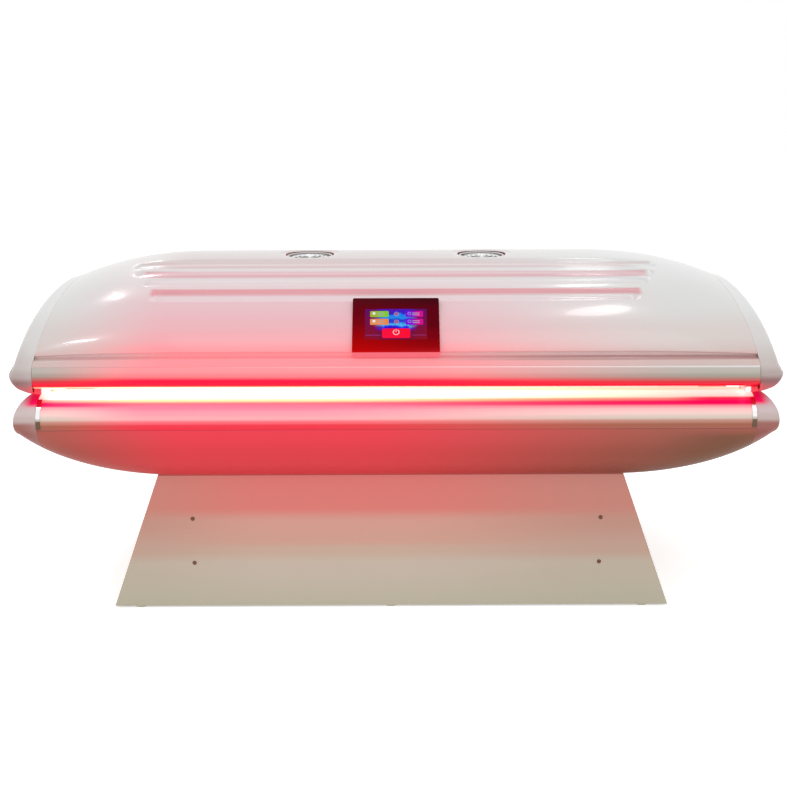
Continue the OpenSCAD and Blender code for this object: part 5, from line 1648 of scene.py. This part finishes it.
# %% Colours that shine, and the display's list of pieces
DARK_GLOSS = 0.05
UNEVEN = 0.2
display = []


def shown(name, material, plates):
    obj = joined(name, plates)
    obj.data.transform(PANEL_PLACE)
    dress(obj, "canopy", "screen", material)
    display.append(name)


def glow(name, low_color, high_color, low, high):
    # A colour that changes from left to right and shines by itself
    material, tree, bsdf = nodes_of(name)
    vector, axes = place(tree)
    noise = grain(tree, bsdf, vector, scale=300.0, rough=0.3, spread=0.05, bump=0.0)
    color = mix_color(tree, fade(tree, axes[0], low, high), low_color, high_color)
    dim = mix_color(tree, math_node(tree, "MULTIPLY", noise, UNEVEN), color, low_color)
    shine(tree, bsdf, dim, 1.0, DARK_GLOSS)
    return material


# %% [markdown]
# ### Picture behind the buttons
# Behind the buttons runs a wave of blue and violet between dark red sides. A picture file would have
# to be stored beside the script. A ramp over the height, shifted a little by a noise, gives the same
# soft waves at any size.

# %% Waves
DISPLAY_W, DISPLAY_H, DISPLAY_V, DISPLAY_CORNER = 153.0, 89.0, 1.5, 1.5
WAVE_SHIFT = 0.018
MIDDLE_EDGE, MIDDLE_END = 0.024, 0.058


def wave_picture():
    material, tree, bsdf = nodes_of("display_waves")
    vector, axes = place(tree)
    noise = grain(tree, bsdf, vector, scale=45.0, rough=0.3, spread=0.05, bump=0.0)
    shift = math_node(tree, "MULTIPLY", math_node(tree, "SUBTRACT", noise, 0.5), WAVE_SHIFT)
    wavy = math_node(tree, "ADD", axes[2], shift)
    waves = [
        (0.757, (0.13, 0.001, 0.05)), (0.7605, (0.03, 0.001, 0.55)), (0.7645, (0.02, 0.02, 0.75)),
        (0.768, (0.07, 0.45, 0.85)), (0.773, (0.02, 0.06, 0.65)), (0.778, (0.02, 0.04, 0.60)),
        (0.7825, (0.01, 0.24, 0.80)), (0.789, (0.01, 0.22, 0.85)), (0.794, (0.03, 0.01, 0.55)),
        (0.801, (0.08, 0.005, 0.45)),
    ]
    sides = [
        (0.735, (0.26, 0.001, 0.012)), (0.755, (0.21, 0.001, 0.03)),
        (0.780, (0.16, 0.001, 0.07)), (0.801, (0.12, 0.001, 0.13)),
    ]
    away = math_node(tree, "ABSOLUTE", axes[0])
    middle = math_node(tree, "SUBTRACT", 1.0, fade(tree, away, MIDDLE_EDGE, MIDDLE_END))
    color = mix_color(tree, middle, ramp(tree, axes[2], sides), ramp(tree, wavy, waves))
    shine(tree, bsdf, color, 1.0, DARK_GLOSS)
    return material


picture = pill("picture", 0, DISPLAY_V, DISPLAY_W, DISPLAY_H, 0, DISPLAY_CORNER)
shown("display_picture", wave_picture(), [picture])
print("display, mm:", DISPLAY_W, "x", DISPLAY_H)

# %% [markdown]
# ### Buttons and marks
# Two rows of buttons stand left and right of two dots, and a wide start button lies below them.
# Small pale shapes mark them. Each could stay a piece of its own, but all shapes of one colour are
# joined, which keeps the list of pieces short and gives each colour one finish.

# %% Buttons
ROWS = (31.0, 8.1)
LEFT_U, RIGHT_U, DOT_U = -40.7, 45.6, 1.6
BUTTON_H, BUTTON_CORNER = 17.6, 3
shown("button_green", glow("green_glow", (0.36, 0.44, 0.03), (0.20, 0.60, 0.02), -0.062, -0.03), [
    pill("green", LEFT_U, ROWS[0], 46, BUTTON_H, 1, BUTTON_CORNER),
])
shown("button_orange", glow("orange_glow", (0.80, 0.28, 0.10), (0.82, 0.24, 0.04), -0.062, -0.018), [
    pill("orange", LEFT_U, ROWS[1], 46, BUTTON_H, 1, BUTTON_CORNER),
])
shown("buttons_violet", glow("violet_glow", (0.17, 0.001, 0.72), (0.70, 0.001, 0.25), 0.034, 0.060), [
    pill("violet", RIGHT_U, v, 44, BUTTON_H, 1, BUTTON_CORNER) for v in ROWS
])
shown("button_start", glow("start_glow", (0.96, 0.001, 0.045), (0.96, 0.001, 0.03), -0.03, 0.03), [
    pill("start", 0.6, -25.5, 70, 28, 1, 5),
])
shown("dots_red", glow("dot_glow", (0.42, 0.10, 0.28), (0.48, 0.10, 0.20), -0.01, 0.01), [
    pill("dot", DOT_U, v, 9, 9, 1) for v in ROWS
])
print("buttons and dots:", len(display) - 1, "pieces")

# %% Rings and marks
white_glow = glow("white_glow", (0.80, 0.82, 0.85), (0.86, 0.86, 0.86), -0.05, 0.05)
POWER_U, POWER_V = 0.6, -22.5
icons = [ring_plate("power", POWER_U, POWER_V, 8.0, 6.6, 2, 60)]
icons += [pill("power_bar", POWER_U, POWER_V + 5.2, 1.4, 7.0, 2)]
icons += [pill("icon", LEFT_U - 13.5, v + 2, 7.5, 7.5, 2) for v in ROWS]
shown("icons_white", white_glow, icons)
pale_glow = glow("pale_glow", (0.38, 0.38, 0.42), (0.40, 0.34, 0.40), -0.05, 0.05)
bars = [pill("bar", u + 4, v + lift, 18, 2.0, 2) for v in ROWS for u in (LEFT_U, RIGHT_U) for lift in (2.6, -2.6)]
bars += [ring_plate("icon_ring", RIGHT_U - 12.0, v + 1, 4.4, 3.2, 2) for v in ROWS]
bars += [ring_plate("dot_ring", DOT_U, v, 6.3, 5.3, 2) for v in ROWS]
shown("marks_pale", pale_glow, bars)
print("marks:", len(icons) + len(bars))

# %% Pulse lines
PULSE_V, PULSE_HALF = -31, 0.45
PULSE_Z = (0.00005, 0.0001)


def pulse(name, u0, u1, peak):
    # A thin line with one small peak, like a pulse on a monitor
    points = [(u0, 0), (peak - 4, 0), (peak - 2, 3), (peak, -2), (peak + 1.5, 0), (u1, 0)]
    verts = []
    for u, v in points:
        for side in (-1, 1):
            verts += [((u * MM), (PULSE_V + v + side * PULSE_HALF) * MM, z) for z in PULSE_Z]
    faces = []
    for k in range(len(points) - 1):
        b, c = 4 * k, 4 * k + 4
        faces += [(b, c, c + 1, b + 1), (b + 2, b + 3, c + 3, c + 2)]
        faces += [(b + 1, c + 1, c + 3, b + 3), (b, b + 2, c + 2, c)]
    end = 4 * (len(points) - 1)
    faces += [(0, 1, 3, 2), (end, end + 2, end + 3, end + 1)]
    obj = mesh_object(name, verts, faces)
    outward(obj)
    return obj


line_glow = glow("line_glow", (0.30, 0.08, 0.50), (0.40, 0.06, 0.30), -0.06, 0.06)
shown("pulse_lines", line_glow, [pulse("pulse_left", -74, -38, -54), pulse("pulse_right", 40, 74, 58)])
print("display pieces:", len(display))

# %% [markdown]
# ## Shapes that repeat
# Wires, blades, screws and lamps repeat by a rule, so a node tree makes them: it holds the rule,
# and its named inputs hold the sizes. Copies made by hand would look the same but would have to be
# made again for each change. The tree's result is turned into a plain mesh at the end, because
# only plain meshes can be measured and moved with a body.


# %% Trees and their nodes
def new_tree(name, **sizes):
    # An empty tree with one named input for each size
    tree = bpy.data.node_groups.new(name, "GeometryNodeTree")
    tree.interface.new_socket("Geometry", in_out="OUTPUT", socket_type="NodeSocketGeometry")
    for label, value in sizes.items():
        kind = "NodeSocketInt" if isinstance(value, int) else "NodeSocketFloat"
        tree.interface.new_socket(label, in_out="INPUT", socket_type=kind).default_value = value
    return tree, tree.nodes.new("NodeGroupInput").outputs


def add_node(tree, kind, inputs, **settings):
    node = tree.nodes.new(kind)
    for key, value in settings.items():
        setattr(node, key, value)
    for key, value in inputs.items():
        if isinstance(value, bpy.types.NodeSocket):
            link(tree, value, node.inputs[key])
        else:
            node.inputs[key].default_value = value
    return node


def vector_of(tree, x=0.0, y=0.0, z=0.0):
    return add_node(tree, "ShaderNodeCombineXYZ", {"X": x, "Y": y, "Z": z}).outputs[0]


# %% Copies, end and result of a tree
def copies(tree, count, shape, turn=None, scale=None):
    # The shape once for each number from 0, turned or scaled by that number
    points = add_node(tree, "GeometryNodePoints", {"Count": count}).outputs[0]
    inputs = {"Points": points, "Instance": shape}
    if turn is not None:
        inputs["Rotation"] = turn
    if scale is not None:
        inputs["Scale"] = scale
    return add_node(tree, "GeometryNodeInstanceOnPoints", inputs).outputs[0]


def end_tree(tree, geometry, material):
    real = add_node(tree, "GeometryNodeRealizeInstances", {"Geometry": geometry}).outputs[0]
    inputs = {"Geometry": real, "Material": material}
    painted = add_node(tree, "GeometryNodeSetMaterial", inputs).outputs[0]
    link(tree, painted, tree.nodes.new("NodeGroupOutput").inputs[0])


def grown(name, tree, move=Matrix.Identity(4), sharp=SHARP, **sizes):
    # The tree's result as a plain mesh
    obj = mesh_object(name, [], [])
    modifier = obj.modifiers.new("grow", "NODES")
    modifier.node_group = tree
    for item in tree.interface.items_tree:
        if item.in_out == "INPUT" and item.name in sizes:
            modifier[item.identifier] = sizes[item.name]
    apply_modifiers(obj, sharp)
    obj.data.transform(move)
    print(name, "faces:", len(obj.data.polygons))
    return obj


# %% [markdown]
# ## Fan wells and finger guards
# Two fans blow out of the crown. Each sits under a round well, and a chromed guard of wires keeps
# fingers out. The wires are rings round the middle and four spokes, all on a shallow dome. In the
# tree they start as thin curves, are lifted onto the dome and only then get their thickness, so
# each wire stays round.

# %% Guard wires
GUARD = {"Rings": 4, "Pitch": 0.012, "Wire": 0.0012, "Dome": 0.0045, "Reach": 0.0566, "Spokes": 4}
SPOKE_START = 0.003


def guard_tree():
    tree, size = new_tree("guard_wires", **GUARD)
    number = tree.nodes.new("GeometryNodeInputIndex").outputs[0]
    circle = {"Resolution": 72, "Radius": 1.0}
    ring = add_node(tree, "GeometryNodeCurvePrimitiveCircle", circle).outputs[0]
    radius = math_node(tree, "MULTIPLY", math_node(tree, "ADD", number, 1.0), size["Pitch"])
    rings = copies(tree, size["Rings"], ring, scale=radius)
    ends = {"Start": (SPOKE_START, 0.0, 0.0), "End": vector_of(tree, size["Reach"])}
    straight = add_node(tree, "GeometryNodeCurvePrimitiveLine", ends).outputs[0]
    spoke = add_node(tree, "GeometryNodeResampleCurve", {"Curve": straight, "Count": 16}).outputs[0]
    part = math_node(tree, "DIVIDE", 2 * math.pi, size["Spokes"])
    turn = vector_of(tree, z=math_node(tree, "MULTIPLY", number, part))
    spokes = copies(tree, size["Spokes"], spoke, turn=turn)
    both = tree.nodes.new("GeometryNodeJoinGeometry")
    for wires in (rings, spokes):
        link(tree, wires, both.inputs[0])
    real = add_node(tree, "GeometryNodeRealizeInstances", {"Geometry": both.outputs[0]}).outputs[0]
    spot = tree.nodes.new("GeometryNodeInputPosition").outputs[0]
    length = add_node(tree, "ShaderNodeVectorMath", {0: spot}, operation="LENGTH").outputs["Value"]
    share = math_node(tree, "POWER", math_node(tree, "DIVIDE", length, size["Reach"]), 2.0)
    rise = math_node(tree, "MULTIPLY", math_node(tree, "SUBTRACT", 1.0, share), size["Dome"])
    lifted = add_node(tree, "GeometryNodeSetPosition", {"Geometry": real, "Offset": vector_of(tree, z=rise)})
    section = {"Resolution": 8, "Radius": size["Wire"]}
    profile = add_node(tree, "GeometryNodeCurvePrimitiveCircle", section).outputs[0]
    wire = {"Curve": lifted.outputs[0], "Profile Curve": profile, "Fill Caps": True}
    solid = add_node(tree, "GeometryNodeCurveToMesh", wire).outputs[0]
    end_tree(tree, solid, MATERIALS["chrome"])
    return tree


# %% Guards in place
GUARD_Z = 0.8848
SIDES = {"left": -1, "right": 1}
BUTTON = [(0, -0.0012), (0.0052, -0.0012), (0.006, -0.0002), (0.0052, 0.0014), (0.003, 0.0022), (0, 0.0024)]


def canopy_fan_place(side, z):
    return Matrix.Translation((side * FAN_X, FAN_Y, z))


guard_wires = guard_tree()
for name, side in SIDES.items():
    wires = grown("guard_wires_" + name, guard_wires, **GUARD)
    button = [(r, z + GUARD["Dome"]) for r, z in BUTTON]
    guard = joined("finger_guard_" + name, [wires, lathe_object("guard_button", button, 24)])
    guard.data.transform(canopy_fan_place(side, GUARD_Z))
    dress(guard, "canopy", "chrome", MATERIALS["chrome"], "fan_guard_" + name)

# %% [markdown]
# ### Well liners
# The liner is a turned ring that stands in the hole of the shell and leads the air out. A cylinder
# with a hole would show hard edges, so its rounded section is drawn once and turned about the fan's
# axis.

# %% Liners
WELL_FLOOR = 0.883
liner_section = [
    (0.0572, 0.0002), (0.0572, 0.0066), (0.0580, 0.0076), (0.0592, 0.0080), (0.0608, 0.0080),
    (0.0616, 0.0074), (0.0617, 0.0024), (0.0650, 0.0019), (0.0658, 0.0012), (0.0656, 0.0002), (0.0572, 0.0002),
]
for name, side in SIDES.items():
    liner = lathe_object("well_liner_" + name, liner_section, 96)
    liner.data.transform(canopy_fan_place(side, WELL_FLOOR))
    dress(liner, "canopy", "well_grey", MATERIALS["well_grey"], "fan_well_" + name)
print("liners:", len(SIDES))

# %% [markdown]
# ## Fan rotors
# A rotor has a hub like a low pot and seven blades. A blade is steeper at its root than at its
# tip, because the tip moves faster. The tree bends one thin block to that twist and sets seven
# copies round the hub.

# %% Blades
BLADES = {"Blades": 7, "Root": 0.0185, "Tip": 0.0538, "Chord": 0.027, "Thickness": 0.0014}
ROOT_PITCH, TWIST = math.radians(44), math.radians(18)
BLADE_HOLLOW = 0.008


def blade_tree():
    tree, size = new_tree("rotor_blades", **BLADES)
    span = math_node(tree, "SUBTRACT", size["Tip"], size["Root"])
    block = {"Size": vector_of(tree, span, size["Chord"], size["Thickness"]), "Vertices X": 9, "Vertices Y": 7}
    blank = add_node(tree, "GeometryNodeMeshCube", block).outputs[0]
    spot = tree.nodes.new("GeometryNodeInputPosition").outputs[0]
    x, y, z = add_node(tree, "ShaderNodeSeparateXYZ", {0: spot}).outputs
    out = math_node(tree, "ADD", math_node(tree, "DIVIDE", x, span), 0.5)
    angle = math_node(tree, "SUBTRACT", ROOT_PITCH, math_node(tree, "MULTIPLY", out, TWIST))
    across = math_node(tree, "DIVIDE", y, size["Chord"])
    hollow = math_node(tree, "MULTIPLY", math_node(tree, "POWER", across, 2.0), BLADE_HOLLOW)
    height = math_node(tree, "ADD", z, hollow)
    sine, cosine = math_node(tree, "SINE", angle), math_node(tree, "COSINE", angle)
    y_sine, y_cosine = (math_node(tree, "MULTIPLY", y, v) for v in (sine, cosine))
    height_sine, height_cosine = (math_node(tree, "MULTIPLY", height, v) for v in (sine, cosine))
    turned = vector_of(
        tree,
        math_node(tree, "ADD", math_node(tree, "MULTIPLY", out, span), size["Root"]),
        math_node(tree, "SUBTRACT", y_cosine, height_sine),
        math_node(tree, "ADD", y_sine, height_cosine),
    )
    blade = add_node(tree, "GeometryNodeSetPosition", {"Geometry": blank, "Position": turned}).outputs[0]
    number = tree.nodes.new("GeometryNodeInputIndex").outputs[0]
    part = math_node(tree, "DIVIDE", 2 * math.pi, size["Blades"])
    turn = vector_of(tree, z=math_node(tree, "MULTIPLY", number, part))
    end_tree(tree, copies(tree, size["Blades"], blade, turn=turn), MATERIALS["rotor"])
    return tree


# %% Rotors
HUB = [
    (0.0031, 0.0), (0.0185, 0.0), (0.0196, 0.0008), (0.0200, 0.002), (0.0200, 0.0272), (0.0194, 0.0288),
    (0.0180, 0.0296), (0.0120, 0.0298), (0.0110, 0.0290), (0.0031, 0.0290), (0.0031, 0.0),
]
CANOPY_ROTOR_Z, TUB_ROTOR_Z = 0.849, 0.336
BLADE_Z = 0.015
rotor_blades = blade_tree()
for name, side in SIDES.items():
    for fan, fan_place in (
        ("canopy_fan_rotor_", canopy_fan_place(side, CANOPY_ROTOR_Z)),
        ("tub_fan_rotor_", Matrix.Translation((side * VENT_X, 0.0, TUB_ROTOR_Z))),
    ):
        blades = grown("blades", rotor_blades, Matrix.Translation((0, 0, BLADE_Z)), **BLADES)
        rotor = joined(fan + name + "_profile", [blades, lathe_object("hub", HUB, 48)])
        rotor.data.transform(fan_place)
        dress(rotor, fan + name, "rotor", MATERIALS["rotor"], fan + name)

# %% [markdown]
# ## Sheet screws
# Eight pan-head screws hold the front and the rear sheet. They stand at the corners of one block,
# so the tree takes the eight corners of a cube as places, turns each screw outwards and gives each
# a slightly different last turn of the screwdriver, with a fixed seed.

# %% One screw
# Radius and height of the turned outline, and the half sizes of the two bars of the cross
HEAD = [
    (0, -0.008), (0.0024, -0.008), (0.0024, 0.0), (0.0056, 0.0), (0.0056, 0.0006), (0.0047, 0.0007),
    (0.0045, 0.0013), (0.0038, 0.0022), (0.0026, 0.0026), (0, 0.0027),
]
CROSS = ((0.0019, 0.0005), (0.0005, 0.0019))
CROSS_TAPER = ((0.0012, 0.6), (0.004, 1.4))
SCREW_SHARP = 40
one_screw = lathe_object("one_screw", HEAD, 24, SCREW_SHARP)
for x, y in CROSS:
    corners = [(-x, -y), (x, -y), (x, y), (-x, y)]
    verts = [(u * k, v * k, z) for z, k in CROSS_TAPER for u, v in corners]
    faces = [(3, 2, 1, 0), (4, 5, 6, 7)] + [(k, (k + 1) % 4, (k + 1) % 4 + 4, k + 4) for k in range(4)]
    cut(one_screw, mesh_object("cross", verts, faces), SCREW_SHARP)
print("faces of one screw:", len(one_screw.data.polygons))

# %% Eight screws
SCREWS = {"Length": 1.06, "Depth": 0.680, "Height": 0.1225, "Middle": 0.18725}
SCREW_SEED = 3


def screw_tree():
    tree, size = new_tree("sheet_screws", **SCREWS)
    block = {"Size": vector_of(tree, size["Length"], size["Depth"], size["Height"])}
    corners = add_node(tree, "GeometryNodeMeshCube", block).outputs[0]
    middle = vector_of(tree, z=size["Middle"])
    raised = add_node(tree, "GeometryNodeSetPosition", {"Geometry": corners, "Offset": middle}).outputs[0]
    screw = add_node(tree, "GeometryNodeObjectInfo", {"Object": one_screw}).outputs["Geometry"]
    spot = tree.nodes.new("GeometryNodeInputPosition").outputs[0]
    depth = add_node(tree, "ShaderNodeSeparateXYZ", {0: spot}).outputs["Y"]
    outwards = math_node(tree, "MULTIPLY", math_node(tree, "SIGN", depth), -math.pi / 2)
    turn = {"Min": 0.0, "Max": math.pi, "Seed": SCREW_SEED}
    last = tree.nodes.new("FunctionNodeRandomValue")
    for socket in last.inputs:
        if socket.enabled and socket.name in turn:
            socket.default_value = turn[socket.name]
    spin = next(socket for socket in last.outputs if socket.enabled)
    inputs = {"Points": raised, "Instance": screw, "Rotation": vector_of(tree, outwards)}
    placed = add_node(tree, "GeometryNodeInstanceOnPoints", inputs).outputs[0]
    own = {"Instances": placed, "Rotation": vector_of(tree, z=spin), "Local Space": True}
    turned = add_node(tree, "GeometryNodeRotateInstances", own).outputs[0]
    end_tree(tree, turned, MATERIALS["zinc_steel"])
    return tree


screws = grown("sheet_screws", screw_tree(), sharp=SCREW_SHARP, **SCREWS)
bpy.data.objects.remove(one_screw)
# The screws are zinc steel; their dark red-brown is the red light on the sheets, painted into the colour
screw_steel = metal("screw_steel_painted_red_light", (0.20, 0.10, 0.07), 0.5)
dress(screws, "bed", "zinc_steel", screw_steel, "panel_screws")

# %% [markdown]
# ## Red lamps on the light boards
# Each tray carries nine boards with two rows of red lamps, nearly nine hundred in all, behind the
# acrylic. A lamp is a small square case with a low lens and very few faces, because it is
# repeated so often. The tree counts the lamps, works out board, row and place from the number, and
# sets a lamp there. Copies placed by hand would all have to be moved again if a board moved.

# %% One lamp
CASE, CASE_HEIGHT, CASE_TAPER = 0.0026, 0.0014, 0.92
LENS, LENS_FOOT, LENS_BEND, LENS_TOP = 0.0021, 0.0002, 0.0009, 0.0011
LAMP_SHARP = 30


def lamp_shape():
    verts, faces = [], []
    corners = ((-1, -1), (1, -1), (1, 1), (-1, 1))
    for z, k in ((0.0, 1.0), (CASE_HEIGHT, 1.0), (CASE_HEIGHT + LENS_FOOT, CASE_TAPER)):
        verts += [(x * CASE * k, y * CASE * k, z) for x, y in corners]
    for ring in (0, 4):
        faces += [(ring + k, ring + (k + 1) % 4, ring + 4 + (k + 1) % 4, ring + 4 + k) for k in range(4)]
    faces += [(8, 9, 10, 11), (3, 2, 1, 0)]
    start = len(verts)
    for r, z in ((LENS, CASE_HEIGHT + LENS_FOOT), (LENS * 0.7, CASE_HEIGHT + LENS_BEND)):
        verts += [(r * math.cos(math.pi * k / 3), r * math.sin(math.pi * k / 3), z) for k in range(6)]
    verts.append((0, 0, CASE_HEIGHT + LENS_TOP))
    for k in range(6):
        n = (k + 1) % 6
        faces += [(start + k, start + n, start + 6 + n, start + 6 + k), (start + 6 + k, start + 6 + n, start + 12)]
    return mesh_object("one_lamp", verts, faces, LAMP_SHARP)


one_lamp = lamp_shape()
print("faces of one lamp:", len(one_lamp.data.polygons))

# %% Rows of lamps
LAMP_ROWS = {
    "Along": 48, "Boards": 9, "Length": 1.47, "Radius": 0.54685, "Board Angle": math.radians(8.00486),
    "Row Offset": 0.015, "Centre": TUB_BOTTOM + ACRYLIC_R, "Flip": 0,
}


def lamp_tree():
    tree, size = new_tree("lamp_rows", **LAMP_ROWS)
    number = tree.nodes.new("GeometryNodeInputIndex").outputs[0]
    along = math_node(tree, "MODULO", number, size["Along"])
    row = math_node(tree, "FLOOR", math_node(tree, "DIVIDE", number, size["Along"]))
    board = math_node(tree, "FLOOR", math_node(tree, "DIVIDE", row, 2.0))
    side = math_node(tree, "SUBTRACT", math_node(tree, "MULTIPLY", math_node(tree, "MODULO", row, 2.0), 2.0), 1.0)
    gap = math_node(tree, "DIVIDE", size["Length"], math_node(tree, "SUBTRACT", size["Along"], 1.0))
    half_length = math_node(tree, "DIVIDE", size["Length"], 2.0)
    x = math_node(tree, "SUBTRACT", math_node(tree, "MULTIPLY", along, gap), half_length)
    middle = math_node(tree, "DIVIDE", math_node(tree, "SUBTRACT", size["Boards"], 1.0), 2.0)
    angle = math_node(tree, "MULTIPLY", math_node(tree, "SUBTRACT", board, middle), size["Board Angle"])
    sine, cosine = math_node(tree, "SINE", angle), math_node(tree, "COSINE", angle)
    offset = math_node(tree, "MULTIPLY", side, size["Row Offset"])
    radius_sine, radius_cosine = (math_node(tree, "MULTIPLY", size["Radius"], v) for v in (sine, cosine))
    offset_sine, offset_cosine = (math_node(tree, "MULTIPLY", offset, v) for v in (sine, cosine))
    y = math_node(tree, "ADD", radius_sine, offset_cosine)
    drop = math_node(tree, "SUBTRACT", radius_cosine, offset_sine)
    sign = math_node(tree, "SUBTRACT", 1.0, math_node(tree, "MULTIPLY", size["Flip"], 2.0))
    z = math_node(tree, "SUBTRACT", size["Centre"], math_node(tree, "MULTIPLY", sign, drop))
    count = math_node(tree, "MULTIPLY", math_node(tree, "MULTIPLY", size["Along"], size["Boards"]), 2.0)
    points = add_node(tree, "GeometryNodePoints", {"Count": count, "Position": vector_of(tree, x, y, z)}).outputs[0]
    over = math_node(tree, "MULTIPLY", size["Flip"], math.pi)
    turn = math_node(tree, "ADD", over, math_node(tree, "MULTIPLY", sign, angle))
    lamp = add_node(tree, "GeometryNodeObjectInfo", {"Object": one_lamp}).outputs["Geometry"]
    inputs = {"Points": points, "Instance": lamp, "Rotation": vector_of(tree, turn)}
    placed = add_node(tree, "GeometryNodeInstanceOnPoints", inputs).outputs[0]
    end_tree(tree, placed, red_lamp)
    return tree


# %% Lamps of tub and canopy
red_lamp = emitter("red_lamp", (1.0, 0.05, 0.03), 2.0)
lamp_rows = lamp_tree()
for body, flip, centre in (("bed", 0, TUB_BOTTOM + ACRYLIC_R), ("canopy", 1, CANOPY_ARC_Z)):
    sizes = dict(LAMP_ROWS, Centre=centre, Flip=flip)
    lamps = grown("red_lamps_" + body, lamp_rows, sharp=LAMP_SHARP, **sizes)
    dress(lamps, body, "light_board", red_lamp)
bpy.data.objects.remove(one_lamp)

# %% [markdown]
# ## Studio
# The bed stands before plain white, with soft reflections on its gloss. The floor is a wide white
# sheet that shines a little by itself, so its edge melts into the background. A curved backdrop
# would do the same, but it would stand in the way of the views from behind.

# %% Floor
FLOOR_REACH, FLOOR_GLOW = 20, 0.45
corners = [(x * FLOOR_REACH, y * FLOOR_REACH, 0) for x, y in ((-1, -1), (1, -1), (1, 1), (-1, 1))]
floor = mesh_object("floor", corners, [(0, 1, 2, 3)])
pale = plain("pale_floor", (0.92, 0.92, 0.92), 0.9, bump=0.0, shade=0.0)
pale_shader = pale.node_tree.nodes["Principled BSDF"]
pale_shader.inputs["Emission Color"].default_value = (1, 1, 1, 1)
pale_shader.inputs["Emission Strength"].default_value = FLOOR_GLOW
floor.data.materials.append(pale)
print("floor, m:", 2 * FLOOR_REACH)

# %% [markdown]
# ### Room and windows
# A white world lights the bed evenly from all sides. The few bright spots on the gloss of the
# canopy are mirrored windows, so each is a small light that stands where the skin mirrors it to the
# camera. It gives hardly any light of its own. A picture of a room round the scene would give the
# same spots, but they could not be moved one by one.

# %% Room
world = bpy.data.worlds.new("world")
bpy.context.scene.world = world
world.use_nodes = True
world.node_tree.nodes["Background"].inputs["Color"].default_value = (1, 1, 1, 1)
world.node_tree.nodes["Background"].inputs["Strength"].default_value = 1.0
bpy.context.scene.view_settings.view_transform = "Standard"
print("colours shown as:", bpy.context.scene.view_settings.view_transform)

# %% Windows
# Place, the point it is aimed at, width and height, power in watts and turn in degrees
WINDOWS = {
    "window_oval": ((0.97, -0.16, 3.25), (0.52, -0.34, 0.80), (0.62, 0.31), 4, -45),
    "window_top": ((0.88, 0.98, 2.98), (0.48, -0.26, 0.845), (0.22, 0.50), 3, 0),
    "window_left": ((-1.60, 1.00, 2.78), (-0.70, -0.20, 0.85), (0.08, 0.34), 2.5, -20),
    "window_end": ((-1.62, -1.10, 2.98), (-0.80, -0.35, 0.75), (0.30, 0.08), 2.5, 0),
    "window_back": ((-1.32, 1.90, 2.12), (-0.60, -0.10, 0.88), (0.15, 0.15), 1.5, 0),
}


def area_light(name, location, target, size, power, turn=0.0, shape="ELLIPSE"):
    data = bpy.data.lights.new(name, "AREA")
    data.shape = shape
    data.size, data.size_y = size
    data.energy = power
    obj = bpy.data.objects.new(name, data)
    bpy.context.scene.collection.objects.link(obj)
    obj.location = location
    direction = Vector(target) - Vector(location)
    aimed = direction.to_track_quat("-Z", "Y").to_matrix()
    obj.rotation_euler = (aimed @ Matrix.Rotation(math.radians(turn), 3, "Z")).to_euler()
    obj.visible_camera = False


area_light("key", (0.3, -2.2, 3.4), (0, 0, 0.6), (3.0, 1.6), 12, shape="RECTANGLE")
for name, window in WINDOWS.items():
    area_light(name, *window)
print("lights:", len(bpy.data.lights))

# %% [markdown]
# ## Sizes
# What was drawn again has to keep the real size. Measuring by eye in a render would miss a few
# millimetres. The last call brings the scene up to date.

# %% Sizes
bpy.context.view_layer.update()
